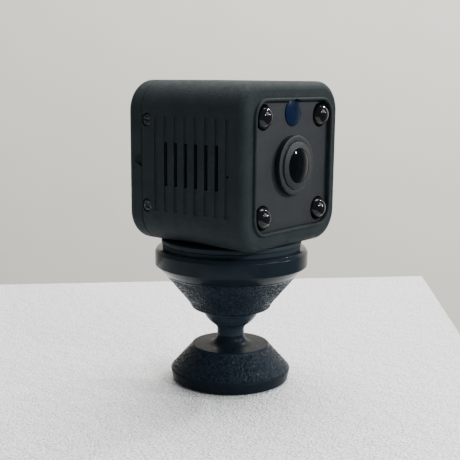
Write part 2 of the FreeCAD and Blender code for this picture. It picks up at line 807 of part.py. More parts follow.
def lens_element(name, radius, curve, y_low, y_high):
    """A lens that bulges towards -Y and is flat behind."""
    return turned(name, [
        ("0", y_low, curve),
        (radius, f"{y_low} + {curve} - sqrt({curve}*{curve} - {radius}*{radius})"),
        (radius, y_high), ("0", y_high)], "y")


def make_lens():
    face = f"({PANEL} - lens_boss_reach - barrel_proud)"
    shoulder = f"({face} + barrel_head_length)"
    case_node("lens_barrel", turned("lens_barrel_body", [
        ("glass_radius + glass_fit", f"{face} - barrel_lip"),
        ("barrel_head_radius - barrel_round", face, "barrel_round"),
        ("barrel_head_radius", f"{face} + barrel_round"), ("barrel_head_radius", shoulder),
        ("barrel_radius", shoulder), ("barrel_radius", "barrel_end"),
        ("barrel_bore_radius", "barrel_end"), ("barrel_bore_radius", "glass_seat"),
        ("glass_radius + glass_fit", "glass_seat")], "y"))
    case_node("lens_front_element", lens_element(
        "front_element", "glass_radius", "glass_curve", f"({face} - glass_reach)", "glass_seat"))
    case_node("lens_middle_element", lens_element(
        "middle_element", "barrel_bore_radius - glass_fit", "middle_curve", "middle_front", "middle_back"))
    case_node("lens_rear_element", lens_element(
        "rear_element", "barrel_bore_radius - glass_fit", "rear_curve", "rear_front", "rear_back"))
    base = block("holder_base", ("-holder_width/2", "holder_front", "-holder_width/2"),
                 ("holder_width/2", "sensor_board_front", "holder_width/2"))
    tube = rod("holder_tube", "holder_tube_radius", "holder_front - holder_tube_front",
               ("0", "holder_tube_front", "0"), "y")
    bore = rod("holder_bore", "barrel_radius", "sensor_gap_front - holder_tube_front + overcut",
               ("0", "holder_tube_front - overcut", "0"), "y")
    space = block("holder_space", ("-sensor_gap_width/2", "sensor_gap_front", "-sensor_gap_width/2"),
                  ("sensor_gap_width/2", "sensor_board_front + overcut", "sensor_gap_width/2"))
    case_node("lens_holder", cut("lens_holder_part", join("holder_solid", base, tube), bore, space))
    case_node("ir_filter", block(
        "ir_filter_plate", ("-filter_width/2", "sensor_gap_front", "-filter_width/2"),
        ("filter_width/2", "sensor_gap_front + filter_thickness", "filter_width/2")))
    case_node("image_sensor", block(
        "image_sensor_chip",
        ("-image_sensor_width/2", "sensor_board_front - image_sensor_thickness", "-image_sensor_width/2"),
        ("image_sensor_width/2", "sensor_board_front", "image_sensor_width/2")))


def make_boards():
    corners = [(f"{right}*spacer_offset", f"{up}*spacer_offset", "board_screw_radius")
               for right, up in CORNERS]
    case_node("sensor_board", plate("sensor_board_part", "sensor_board_width", "sensor_board_front", corners))
    case_node("main_board", plate("main_board_part", "main_board_width", "main_board_front", corners))
    sensor_back = "(sensor_board_front + board_thickness)"
    main_back = "(main_board_front + board_thickness)"
    spacers, screws = [], []
    for x, z, radius in corners:
        post = rod("spacer_post", "spacer_radius", f"main_board_front - {sensor_back}",
                   (x, sensor_back, z), "y")
        bore = rod("spacer_bore", radius, f"main_board_front - {sensor_back} + 2*overcut",
                   (x, f"{sensor_back} - overcut", z), "y")
        spacers.append(cut("board_spacer", post, bore))
        one = screw("board_screw", "board_screw_head_radius", "board_screw_head_height", radius,
                    "board_thickness + board_screw_reach")
        turn(one, (1, 0, 0), 90)
        screws.append(locate(one, x, "sensor_board_front - board_screw_head_height", z))
    case_node("board_spacers", bundle("board_spacer_set", *spacers))
    case_node("board_screws", bundle("board_screw_set", *screws))
    case_node("battery_pad", block("battery_foam", ("-foam_width/2", sensor_back, "-foam_height/2"),
                                   ("foam_width/2", f"{sensor_back} + foam_thickness", "foam_height/2")))
    front = f"({sensor_back} + foam_thickness)"
    case_node("battery", slab("battery_cell", "battery_width", "battery_height", "battery_corner", front,
                              f"{front} + battery_thickness"))
    case_node("board_header", block("header", ("-header_width/2", sensor_back, "header_low"),
                                    ("header_width/2", "main_board_front", "header_low + header_height")))
    case_node("processor", block(
        "processor_chip", ("-processor_width", "main_board_front - processor_thickness", "processor_low"),
        ("0", "main_board_front", "processor_low + processor_width")))
    case_node("wifi_module", block(
        "wifi_shield", ("wifi_right - wifi_width", main_back, "-wifi_width/2"),
        ("wifi_right", f"{main_back} + wifi_thickness", "wifi_width/2")))
    case_node("antenna", block(
        "antenna_strip", ("-antenna_width/2", "-antenna_depth/2", f"{INSIDE}/2 - antenna_thickness"),
        ("antenna_width/2", "antenna_depth/2", f"{INSIDE}/2")))
    case_node("keeper_plate", block(
        "keeper", ("-keeper_width/2", "-keeper_width/2", f"-{INSIDE}/2"),
        ("keeper_width/2", "keeper_width/2", f"-{INSIDE}/2 + keeper_thickness")))
    groove = f"groove_first - groove_pitch*{GROOVES - 1}"
    case_node("microphone", rod("microphone_capsule", "microphone_radius", "microphone_thickness",
                                (f"-{INSIDE}/2", groove, "microphone_height"), "x"))


def make_rear():
    main_back = "(main_board_front + board_thickness)"
    wall = f"({BACK} - case_wall)"
    body = slab("cover_body", "case_width", "case_width", "case_corner", "seam", BACK)
    round_edges(body, "cover_round", "rear_round", BACK)
    hollow(body, "cover_cavity", INSIDE, INSIDE, INSIDE_CORNER, "seam - overcut", wall)
    bosses = []
    for side in SIDES:
        for sign in "-+":
            low, high = f"(0 {sign} screw_spread) - boss_height/2", f"(0 {sign} screw_spread) + boss_height/2"
            for y, gap in (("boss_front", "boss_gap"), ("seam", "-2*boss_gap")):
                x_low, x_high = side_span(side, f"{INSIDE}/2 - ({gap})", f"{INSIDE}/2 - boss_reach")
                bosses.append(block("cover_boss", (x_low, y, low), (x_high, f"{wall} + 2*boss_gap", high)))
    pilots = []
    for side in SIDES:
        low, high = side_span(side, "case_width/2", f"{INSIDE}/2 - boss_reach - overcut")
        for sign in "-+":
            pilots.append(rod("cover_pilot", "pilot_radius", f"({high}) - ({low})",
                              (low, "screw_row", f"0 {sign} screw_spread"), "x"))
    knob_middle = "(-control_offset - switch_travel/2)"
    inside, beyond, through = f"{wall} - overcut", f"{BACK} + overcut", "case_wall + 2*overcut"
    slot = block("knob_slot", (f"{knob_middle} - knob_width/2 - knob_side_gap", inside,
                               "control_height - knob_height/2 - knob_gap"),
                 (f"{knob_middle} + switch_travel + knob_width/2 + knob_side_gap", beyond,
                  "control_height + knob_height/2 + knob_gap"))
    button_hole = rod("button_hole", "button_radius + button_clearance", through,
                      ("control_offset", inside, "control_height"), "y")
    status_hole = rod("status_hole", "status_radius", through, ("0", inside, "control_height"), "y")
    usb_hole = oval("usb_hole", "usb_width + 2*usb_clearance", "usb_tall + 2*usb_clearance",
                    inside, beyond, z="usb_height")
    left = "(-case_width/2)"
    notch = taper("pry_notch", "seam", "seam + notch_length", (f"{left} - overcut", f"{left} - overcut"),
                  (f"{left} + notch_depth", f"{left} + notch_end_depth"), "notch_middle",
                  ("notch_half", "notch_end_half"))
    case_node("rear_cover", cut("rear_cover_part", join("cover_solid", body, *bosses),
                                *pilots, slot, button_hole, status_hole, usb_hole, notch))

    case_screws = []
    for side in SIDES:
        for sign in "-+":
            one = screw("case_screw", "screw_head_radius", "screw_head_height", "screw_shank_radius",
                        "screw_length")
            turn(one, (0, 1, 0), 90 * side)
            head = f"{side}*(case_width/2 - screw_recess_depth + screw_head_height)"
            case_screws.append(locate(one, head, "screw_row", f"0 {sign} screw_spread"))
    case_node("case_screws", bundle("case_screw_set", *case_screws))

    usb_end = f"({BACK} - usb_set_back)"
    usb_back = f"({main_back} + usb_floor)"
    shell = oval("usb_tube", "usb_width", "usb_tall", main_back, usb_end, z="usb_height")
    mouth = oval("usb_mouth", "usb_width - 2*usb_wall", "usb_tall - 2*usb_wall",
                 usb_back, f"{usb_end} + overcut", z="usb_height")
    case_node("usb_shell", cut("usb_shell_part", shell, mouth))
    case_node("usb_tongue", block(
        "usb_blade", ("-tongue_width/2", usb_back, "usb_height - tongue_thickness/2"),
        ("tongue_width/2", f"{usb_end} - tongue_set_back", "usb_height + tongue_thickness/2")))
    switch_back = f"({main_back} + switch_depth)"
    case_node("power_switch", block(
        "switch_case", ("-control_offset - switch_width/2", main_back, "control_height - switch_height/2"),
        ("-control_offset + switch_width/2", switch_back, "control_height + switch_height/2")))
    case_node("switch_knob", block(
        "knob", (f"{knob_middle} - knob_width/2", f"{switch_back} + knob_side_gap",
                 "control_height - knob_height/2"),
        (f"{knob_middle} + knob_width/2", f"{BACK} + knob_proud", "control_height + knob_height/2")))
    tact_back = f"({main_back} + tact_depth)"
    case_node("button_switch", block(
        "tact_case", ("control_offset - tact_width/2", main_back, "control_height - tact_width/2"),
        ("control_offset + tact_width/2", tact_back, "control_height + tact_width/2")))
    button_end = f"({BACK} + button_proud)"
    button = turned("reset_button_body", [
        ("0", f"{tact_back} + tact_gap"), ("button_radius", f"{tact_back} + tact_gap"),
        ("button_radius", f"{wall} - button_collar_front"),
        ("button_radius + button_collar", f"{wall} - button_collar_front"),
        ("button_radius + button_collar", f"{wall} - button_collar_back"),
        ("button_radius", f"{wall} - button_collar_back"),
        ("button_radius", f"{button_end} - button_edge"), ("button_radius - button_edge", button_end),
        ("0", button_end)], "y")
    case_node("reset_button", locate(button, "control_offset", "0", "control_height"))
    pipe_front = f"({main_back} + status_gap)"
    case_node("status_light", rod("status_pipe", "status_radius", f"{BACK} - {pipe_front}",
                                  ("0", pipe_front, "control_height"), "y"))
    case_node("status_lamp", block(
        "status_chip", ("-status_chip_width/2", main_back, "control_height - status_chip_height/2"),
        ("status_chip_width/2", f"{main_back} + status_chip_height",
         "control_height + status_chip_height/2")))
    case_node("card_socket", block(
        "card_cage", ("card_cage_inner", main_back, "-card_cage_height/2"),
        ("card_cage_outer", f"{main_back} + card_cage_thickness", "card_cage_height/2")))


def export():
    doc.recompute()
    for thing in doc.Objects:
        if {"Invalid", "Error"} & set(thing.State):
            raise RuntimeError(f"{thing.Name} failed: {thing.State}")
    for name, thing in nodes.items():
        if thing.Shape.isNull() or not thing.Shape.isValid():
            raise RuntimeError(f"{name} has no sound shape")
    os.makedirs("parts", exist_ok=True)
    for name, thing in nodes.items():
        thing.Shape.exportStep(f"parts/{name}.step")
        print(name, len(thing.Shape.Solids), round(thing.Shape.Volume, 2))


make_sheet()
probe = doc.addObject("App::FeaturePython", "probe")
probe.addProperty("App::PropertyFloat", "number")
make_foot()
make_ball_joint()
make_cup()
make_housing()
make_front_panel()
make_lamps()
make_lens()
make_boards()
make_rear()
export()
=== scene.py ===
import math

import bmesh
import bpy
from mathutils import Matrix, Vector, noise


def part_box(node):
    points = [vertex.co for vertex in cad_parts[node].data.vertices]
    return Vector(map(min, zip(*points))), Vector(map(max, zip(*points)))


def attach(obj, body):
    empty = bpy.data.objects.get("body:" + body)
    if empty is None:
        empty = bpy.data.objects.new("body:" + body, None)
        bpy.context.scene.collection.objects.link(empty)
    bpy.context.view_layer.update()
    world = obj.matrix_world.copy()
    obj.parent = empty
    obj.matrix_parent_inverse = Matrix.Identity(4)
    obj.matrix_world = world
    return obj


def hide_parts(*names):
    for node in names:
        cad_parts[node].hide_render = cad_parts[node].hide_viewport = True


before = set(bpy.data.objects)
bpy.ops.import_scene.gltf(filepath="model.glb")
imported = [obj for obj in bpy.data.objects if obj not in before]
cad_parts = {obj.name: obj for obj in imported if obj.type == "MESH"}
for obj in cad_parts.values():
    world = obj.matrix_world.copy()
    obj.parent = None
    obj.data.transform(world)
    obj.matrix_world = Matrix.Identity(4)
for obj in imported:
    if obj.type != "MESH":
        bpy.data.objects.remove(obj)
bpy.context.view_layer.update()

MM = 0.001
TAU = 2 * math.pi

# Sizes in millimetres that the frame's boxes don't give.

# Case
CASE_CORNER = 6.7
CASE_WALL = 1.4
FRONT_WALL = 1.2
FRONT_ROUND = 2.0
REAR_ROUND = 2.0
FACE_START = 0.25                   # how far short of its full inset the front rounding stops
EDGE = 0.20                         # the bevel along the seam of shell and cover
OPENING = (13.6, 13.55, 3.4)        # half width, half height and corner
LIP_HEIGHT = 0.6
LIP_WIDTH = 0.7
LIP_ROUND = 0.32
OVERCUT = 1.0                       # how far a cutter starts outside of what it cuts

# Sides of the case. Places along the side count from the case's middle towards the back.
GROOVES = 8
GROOVE_FIRST = 7.5
GROOVE_PITCH = 2.8
GROOVE_WIDTH = 1.0
GROOVE_DEPTH = 0.18
GROOVE_HALF = 10.1
SLOTS = range(1, 7)                 # the grooves that have an open slot
SLOT_HALF = 4.65
SCREW_ROW = 10.3
SCREW_SPREAD = 9.27
SCREW_RECESS = (1.475, 0.7)         # radius and depth
SCREW_HOLE = 0.85
PIN_HOLE = (0.28, 1.5)              # the microphone's: radius, and how far below the middle
CARD_SLOT = (9.05, 0.65, 5.9)       # place, half width and half height

# Screws. Heights count from the middle of the head.
SCREW_HEAD = (1.25, 0.12, 0.14, 0.6)    # radius, fall towards the rim, rim rounding, height
SCREW_SHANK = (0.7, 4.2)            # radius and the depth of its tip
SCREW_CROSS = (0.66, 0.14, 0.38)    # half length and half width over the head's radius, depth
SCREW_SINK = 0.1

# Back cover
KNOB_ROOM = (0.1, 2.1, 0.08)        # behind the knob, ahead of it on its way, above and below it
BUTTON_HOLE = 1.58
STATUS_GAP = 0.02
USB_GAP = 0.15
NOTCH = ((-0.2, 0.97, 1.6), (2.2, 0.1, 0.4))    # each end: place behind the seam, depth, half height
NOTCH_RISE = 0.5

# Front panel, lamps, window and lens
PANEL_RECESS = 0.5
PANEL_FLANGE = 0.8
PANEL_GAP = 0.1
PANEL_CORNER = 5.2
LAMP_HOLE = 2.72
LAMP_RADIUS = 2.5
LAMP_FLANGE = (2.9, 1.0)            # radius and thickness
WINDOW_CURVE = 12.0
WINDOW_STEM = 1.9
WINDOW_HOLE_GAP = 0.03
WINDOW_RELIEF_GAP = 0.05
LENS_BOSS = (6.4, 1.35, 0.3)        # radius, how far it stands out, edge rounding
LENS_HOLE = 5.16
LENS_HEAD = (5.0, 0.2, 0.22)        # depth, fall towards the rim, edge rounding
LENS_STEM = 4.4
LENS_BORE = 2.9
GLASS_RADIUS = 3.75
GLASS_CURVE = 10.0
GLASS_GAP = 0.02

# Foot and ball. Heights count from the floor.
FOOT_BASE = (13.5, 0.2)             # radius and edge rounding
FOOT_WIDEST = (2.7, 0.3)            # height and edge rounding
FOOT_TOP_RADIUS = 8.85
FOOT_TOP = 8.45
FOOT_TOP_ROUND = 0.12
FOOT_HOLLOW = (11.0, 4.6)           # radius and height
PAD_SEAT = (12.2, 1.1)              # radius and height
NECK_RADIUS = 3.15
NECK_FILLET = 2.3
SPIGOT = (2.0, 5.2)                 # radius of the ball's pin, and the height of its end
NECK_GAP = 0.5                      # how far under the ball the neck's last ring lies
BALL_START = 0.07                   # the angle, in radians, between the neck and the ball's first ring
PAD_GROOVES = 5
PAD_GROOVE = (0.25, 0.12, 0.16)     # half width at the floor, half width at the top, depth
PAD_EDGE = ((0.3, 0.0), (0.08, 0.1), (0.0, 0.35))       # inset and height of its rounding's points

# Cup, band and disc. Heights count from the floor.
BALL_HEIGHT = 19.0
BALL_GRIP = 7.06
CUP_FLOOR = 18.15
CUP_LIP = (8.9, 1.35)               # radius and rounding
CUP_LOW = (9.85, 18.8, 2.0)         # radius, height and rounding where the cone starts
CUP_TOP_EDGE = 0.1
CUP_RIM = (15.0, 13.4)              # two radii on the flat top, the second at its inner edge
CUP_HOLLOW = (10.1, 21.2)           # radius and height of its floor
SEAT_WALL = (9.7, 8.4)              # outer and inner radius
CONE_SLOPE = 0.831                  # growth in radius over growth in height
CONE_MIDDLE = 9.05                  # a radius inside the wall where the cone starts
LIP_MIDDLE = 8.6                    # the same below the cone
BAND_FOOT = (14.6, 15.5, 0.1)       # two radii on the underside, the second at its edge, and its rounding
BAND_EDGES = ((27.6, 0.25), (30.7, 0.40))       # height and rounding, low and high
BAND_STEP = (17.0, 31.45, 0.3)      # radius, height and rounding
BAND_TOP = (16.1, 13.0)             # outer and inner radius
MAGNET_FLOOR = (28.6, 8.6)          # height, and the radius of the hole in it
DISC_WAIST = (0.2, 0.35)            # insets of the lower edge and of the groove above it
DISC_GROOVE = (0.7, 0.85, 1.0)      # heights of its three lines over the disc's base
DISC_UPPER = (1.1, 0.05, 0.28)      # height over the base, lower rounding, upper rounding
DISC_RING = (1.2, 1.3, 1.5, 1.6)    # insets of the lines of the shallow ring in its top
DISC_RING_DEPTH = 0.12

# Grain
GRAIN_CELL = 0.60
GRAIN_DEPTH = 0.20
GRAIN_WARP = (0.9, 0.45)            # frequency and strength of the bending of the cells
GRAIN_SEED = 7                      # without a seed the bending would differ from run to run
GRAIN_STEEPNESS = 2.2
GRAIN_FADE = 0.25
GRAIN_MESH = 0.16                   # the mesh's step inside the grained zones


def spot(node):
    """The middle and the half sizes of a CAD node's box, in millimetres."""
    low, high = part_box(node)
    return (low + high) / 2 / MM, (high - low) / 2 / MM


def heights(node):
    """The lowest height, the highest height and the widest radius of a round CAD node, in millimetres."""
    low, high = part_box(node)
    return low.z / MM, high.z / MM, high.x / MM


housing_mid, housing_half = spot("housing_shell")
cover_mid, cover_half = spot("rear_cover")
panel_half = spot("front_panel")[1]
lamps_mid, lamps_half = spot("ir_lamps")
window_mid, window_half = spot("light_window")
barrel_mid, barrel_half = spot("lens_barrel")
glass_mid, glass_half = spot("lens_front_element")

CASE_HALF = housing_half.x
CASE_Z = housing_mid.z
FRONT = housing_mid.y - housing_half.y + LIP_HEIGHT
BACK = cover_mid.y + cover_half.y
SEAM = housing_mid.y + housing_half.y
CASE_Y = (FRONT + BACK) / 2
LEDGE = FRONT + FRONT_WALL
PANEL = FRONT + PANEL_RECESS
PANEL_BACK = LEDGE + PANEL_FLANGE
LAMP_SPREAD = lamps_half.x - LAMP_FLANGE[0]


# Mesh making

def add_object(name, mesh):
    thing = bpy.data.objects.new(name, mesh)
    bpy.context.scene.collection.objects.link(thing)
    return thing


def from_bmesh(name, bm):
    """Makes an object from a bmesh drawn in millimetres."""
    bmesh.ops.recalc_face_normals(bm, faces=bm.faces)
    bmesh.ops.scale(bm, vec=(MM, MM, MM), verts=bm.verts)
    mesh = bpy.data.meshes.new(name)
    bm.to_mesh(mesh)
    bm.free()
    return add_object(name, mesh)


def modify(thing, kind, **settings):
    modifier = thing.modifiers.new(kind.lower(), kind)
    for key, setting in settings.items():
        setattr(modifier, key, setting)
    return modifier


def freeze(thing):
    """Applies every modifier of an object."""
    bpy.context.view_layer.update()
    graph = bpy.context.evaluated_depsgraph_get()
    mesh = bpy.data.meshes.new_from_object(thing.evaluated_get(graph))
    thing.modifiers.clear()
    old = thing.data
    thing.data = mesh
    bpy.data.meshes.remove(old)
    return thing


def smooth(thing, angle):
    """Shades smoothly, apart from edges sharper than the angle in degrees."""
    thing.data.shade_smooth()
    thing.data.set_sharp_from_angle(angle=math.radians(angle))
    return thing


def soften(thing, width=0.1, segments=2, angle=38):
    """Rounds every hard edge a little, as moulding does."""
    modify(thing, "BEVEL", width=width * MM, segments=segments, limit_method="ANGLE",
           angle_limit=math.radians(angle), miter_outer="MITER_ARC")
    modify(thing, "WEIGHTED_NORMAL", keep_sharp=True, weight=60)
    thing.data.shade_smooth()
    return freeze(thing)


def cut_away(thing, cutters):
    """Takes the cutters' shapes out of the object, one joined set at a time."""
    for cutter in cutters:
        modify(thing, "BOOLEAN", operation="DIFFERENCE", object=cutter, solver="EXACT", use_self=True)
        freeze(thing)
        bpy.data.objects.remove(cutter)
    return thing


def box_bmesh(boxes):
    """Boxes, each (low corner, high corner) in millimetres."""
    bm = bmesh.new()
    for low, high in boxes:
        low, high = Vector(low), Vector(high)
        made = bmesh.ops.create_cube(bm, size=1.0)["verts"]
        bmesh.ops.scale(bm, vec=high - low, verts=made)
        bmesh.ops.translate(bm, vec=(low + high) / 2, verts=made)
    return bm


def rods(bm, items, sides=48):
    """Adds cylinders, each (start, axis letter, radius, length)."""
    turns = {"x": Matrix.Rotation(math.pi / 2, 4, "Y"), "y": Matrix.Rotation(-math.pi / 2, 4, "X"),
             "z": Matrix.Identity(4)}
    for start, axis, radius, length in items:
        place = Matrix.Translation(start) @ turns[axis] @ Matrix.Translation((0, 0, length / 2))
        bmesh.ops.create_cone(bm, cap_ends=True, segments=sides, radius1=radius, radius2=radius,
                              depth=length, matrix=place)
    return bm


def rounded_loop(half_x, half_z, corner, y, steps=12):
    """Points round a round-cornered rectangle across the Y axis, about the case's middle."""
    points = []
    for quarter in range(4):
        sign_x = 1 if quarter in (0, 3) else -1
        sign_z = 1 if quarter in (0, 1) else -1
        for step in range(steps + 1):
            angle = TAU / 4 * (quarter + step / steps)
            x = sign_x * (half_x - corner) + corner * math.cos(angle)
            z = sign_z * (half_z - corner) + corner * math.sin(angle)
            points.append(Vector((x, y, CASE_Z + z)))
    return points


def loft(bm, loops, caps=False):
    """Joins loops of equally many points. Without caps the last loop joins the first."""
    rings = [[bm.verts.new(p) for p in loop] for loop in loops]
    pairs = list(zip(rings, rings[1:]))
    if not caps:
        pairs.append((rings[-1], rings[0]))
    count = len(rings[0])
    for one, two in pairs:
        for i in range(count):
            j = (i + 1) % count
            bm.faces.new((one[i], one[j], two[j], two[i]))
    if caps:
        bm.faces.new(rings[0])
        bm.faces.new(reversed(rings[-1]))
    return bm


def fillet_loops(half_x, half_z, corner, edge_y, radius, inward, steps=7, sweep=90):
    """Loops of an outer edge's rounding. It starts on the side wall and runs in to the end face."""
    loops = []
    for step in range(steps + 1):
        angle = math.radians(sweep * step / steps)
        inset = radius * (1 - math.cos(angle))
        y = edge_y + inward * radius * (1 - math.sin(angle))
        loops.append(rounded_loop(half_x - inset, half_z - inset, corner - inset, y))
    return loops


def rounded_profile(points, steps=4):
    """Rounds an outline's corners. Each point is (radius, place) or (radius, place, rounding)."""
    result = []
    count = len(points)
    for i, point in enumerate(points):
        here = Vector(point[:2])
        if len(point) < 3 or i in (0, count - 1):
            result.append(tuple(here))
            continue
        before = (Vector(points[i - 1][:2]) - here).normalized()
        after = (Vector(points[i + 1][:2]) - here).normalized()
        half = before.angle(after) / 2
        reach = point[2] / math.tan(half)
        centre = here + (before + after).normalized() * (point[2] / math.sin(half))
        first = here + before * reach - centre
        last = here + after * reach - centre
        start = math.atan2(first.y, first.x)
        sweep = (math.atan2(last.y, last.x) - start + math.pi) % TAU - math.pi
        for step in range(steps + 1):
            angle = start + sweep * step / steps
            result.append((centre.x + point[2] * math.cos(angle),
                           centre.y + point[2] * math.sin(angle)))
    return result


def refine(profile, low, high, step):
    """Adds points to the runs of a profile whose places lie between low and high."""
    result = []
    for one, two in zip(profile, profile[1:]):
        result.append(one)
        if min(one[1], two[1]) >= low - 1e-6 and max(one[1], two[1]) <= high + 1e-6:
            count = int(math.dist(one, two) / step)
            for k in range(1, count):
                t = k / count
                result.append((one[0] + (two[0] - one[0]) * t, one[1] + (two[1] - one[1]) * t))
    result.append(profile[-1])
    return result


def revolve(bm, profile, centre=(0, 0, 0), axis="z", sides=128, shift=None):
    """Turns a profile of (radius, place) points about Z or Y. A point on the axis becomes one vertex."""
    centre = Vector(centre)
    rings = []
    for radius, place in profile:
        ring = []
        count = 1 if radius < 1e-6 else sides
        for k in range(count):
            angle = TAU * k / sides
            reach = radius + (shift(radius, place, angle) if shift and count > 1 else 0)
            a, b = reach * math.cos(angle), reach * math.sin(angle)
            offset = Vector((a, b, place)) if axis == "z" else Vector((a, place, b))
            ring.append(bm.verts.new(centre + offset))
        rings.append(ring)
    pairs = list(zip(rings, rings[1:]))
    if len(rings[0]) > 1 and len(rings[-1]) > 1:
        pairs.append((rings[-1], rings[0]))
    for one, two in pairs:
        for i in range(sides):
            j = (i + 1) % sides
            corners = [one[i % len(one)], one[j % len(one)], two[j % len(two)], two[i % len(two)]]
            unique = list(dict.fromkeys(corners))
            if len(unique) > 2:
                bm.faces.new(unique)
    return bm


def turned_piece(name, profile, centre=(0, 0, 0), axis="z", sides=128, angle=35, **options):
    bm = revolve(bmesh.new(), profile, centre, axis, sides, **options)
    return smooth(from_bmesh(name, bm), angle)


# Materials

def new_material(name, colour, roughness, **sockets):
    material = bpy.data.materials.new(name)
    material.use_nodes = True
    shader = material.node_tree.nodes["Principled BSDF"]
    shader.inputs["Base Color"].default_value = (*colour, 1)
    shader.inputs["Roughness"].default_value = roughness
    for socket, setting in sockets.items():
        shader.inputs[socket.replace("_", " ")].default_value = setting
    return material


def node(material, kind, **inputs):
    made = material.node_tree.nodes.new(kind)
    for socket, setting in inputs.items():
        made.inputs[socket.replace("_", " ")].default_value = setting
    return made


def link(material, source, target):
    material.node_tree.links.new(source, target)


def noise_map(material, scale, detail=3.0, low=0.3, high=0.7, to_low=0.0, to_high=1.0):
    """Object-space noise, spread over a range. The scale is in features per millimetre."""
    where = node(material, "ShaderNodeTexCoord")
    grain = node(material, "ShaderNodeTexNoise", Scale=scale / MM, Detail=detail)
    link(material, where.outputs["Object"], grain.inputs["Vector"])
    spread = node(material, "ShaderNodeMapRange")
    spread.inputs["From Min"].default_value = low
    spread.inputs["From Max"].default_value = high
    spread.inputs["To Min"].default_value = to_low
    spread.inputs["To Max"].default_value = to_high
    link(material, grain.outputs["Fac"], spread.inputs["Value"])
    return spread.outputs["Result"]


def tint(material, mask, dark, light):
    """Colours a surface between two shades by a mask. The node names its colour sockets by number."""
    mix = node(material, "ShaderNodeMix")
    mix.data_type = "RGBA"
    mix.inputs[6].default_value = (*dark, 1)
    mix.inputs[7].default_value = (*light, 1)
    link(material, mask, mix.inputs[0])
    link(material, mix.outputs[2], material.node_tree.nodes["Principled BSDF"].inputs["Base Color"])


def bump(material, *layers):
    """Stacks bumps on a surface. Each layer is (height, depth in millimetres)."""
    shader = material.node_tree.nodes["Principled BSDF"]
    previous = None
    for height, depth in layers:
        made = node(material, "ShaderNodeBump", Strength=1.0, Distance=depth * MM)
        link(material, height, made.inputs["Height"])
        if previous:
            link(material, previous, made.inputs["Normal"])
        previous = made.outputs["Normal"]
    link(material, previous, shader.inputs["Normal"])


def roughen(material, mask):
    link(material, mask, material.node_tree.nodes["Principled BSDF"].inputs["Roughness"])


def moulded(name, dark, light, rough, texture, depth, cloud=0.18, **sockets):
    """Moulded plastic: an even fine texture, slight cloudiness in colour and gloss."""
    material = new_material(name, dark, rough[0], **sockets)
    tint(material, noise_map(material, cloud, 4.0), dark, light)
    roughen(material, noise_map(material, 0.5, 3.0, to_low=rough[0], to_high=rough[1]))
    bump(material, (noise_map(material, texture, 2.0), depth), (noise_map(material, texture / 4, 2.0), depth))
    return material


def simple(name, dark, light, rough, scale, depth, **sockets):
    """A surface with a little variation in colour and height."""
    material = new_material(name, dark, rough, **sockets)
    tint(material, noise_map(material, scale, 3.0), dark, light)
    bump(material, (noise_map(material, scale * 4, 2.0), depth))
    return material


# Outer plastics and rubbers
case_plastic = moulded("case_plastic", (0.0125, 0.0172, 0.0192), (0.0160, 0.0218, 0.0242), rough=(0.55, 0.66),
                       texture=6.0, depth=0.030, Specular_IOR_Level=0.07)
panel_plastic = moulded("panel_plastic", (0.0086, 0.0108, 0.0128), (0.0106, 0.0134, 0.0156),
                        rough=(0.50, 0.62), texture=8.0, depth=0.006, Specular_IOR_Level=0.25)
stand_grain = moulded("stand_grain", (0.0030, 0.0060, 0.0100), (0.0145, 0.0220, 0.0310), rough=(0.12, 0.18),
                      texture=4.0, depth=0.016, cloud=1.5, Specular_IOR_Level=0.06)
stand_smooth = moulded("stand_smooth", (0.0055, 0.0090, 0.0130), (0.0080, 0.0120, 0.0170), rough=(0.26, 0.34),
                       texture=3.0, depth=0.002, Specular_IOR_Level=0.03)
stand_gloss = moulded("stand_gloss", (0.0060, 0.0100, 0.0140), (0.0085, 0.0135, 0.0180), rough=(0.11, 0.18),
                      texture=3.0, depth=0.0030, Specular_IOR_Level=0.07)
ball_plastic = moulded("ball_plastic", (0.0125, 0.0200, 0.0285), (0.0165, 0.0250, 0.0350), rough=(0.24, 0.34),
                       texture=4.0, depth=0.002, Specular_IOR_Level=0.06)
# Painted shade: a darker copy of the panel's plastic for the lens boss's side wall, where shade falls.
boss_wall_painted_shade = moulded("boss_wall_painted_shade", (0.0020, 0.0050, 0.0080), (0.0035, 0.0070, 0.0105), rough=(0.50, 0.62),
                     texture=8.0, depth=0.006, Specular_IOR_Level=0.10)
disc_rubber = moulded("disc_rubber", (0.009, 0.016, 0.022), (0.013, 0.021, 0.028), rough=(0.60, 0.75),
                      texture=7.0, depth=0.008, Specular_IOR_Level=0.15)
pad_rubber = moulded("pad_rubber", (0.016, 0.016, 0.016), (0.028, 0.028, 0.028), rough=(0.75, 0.9),
                     texture=4.0, depth=0.02)
lamp_epoxy = simple("lamp_epoxy", (0.0022, 0.0030, 0.0040), (0.0036, 0.0046, 0.0058), rough=0.07,
                    scale=0.4, depth=0.0005, Specular_IOR_Level=0.25)
window_blue = simple("window_blue", (0.0030, 0.0080, 0.0225), (0.0042, 0.0108, 0.0300), rough=0.20,
                     scale=0.5, depth=0.001, Specular_IOR_Level=0.05)

# Metals
screw_black = simple("screw_black", (0.022, 0.026, 0.028), (0.045, 0.050, 0.052), rough=0.28,
                     scale=1.5, depth=0.004, Metallic=0.85)
steel = simple("zinc_steel", (0.46, 0.46, 0.47), (0.60, 0.60, 0.61), rough=0.32,
               scale=1.2, depth=0.002, Metallic=1.0)
gold = simple("gold_contact", (0.70, 0.52, 0.22), (0.82, 0.64, 0.32), rough=0.28,
              scale=1.2, depth=0.001, Metallic=1.0)
tinned = simple("tinned_shield", (0.58, 0.58, 0.58), (0.72, 0.72, 0.72), rough=0.30,
                scale=0.8, depth=0.002, Metallic=1.0)
nickel = simple("nickel_plate", (0.56, 0.55, 0.54), (0.66, 0.65, 0.63), rough=0.20,
                scale=0.5, depth=0.001, Metallic=1.0)

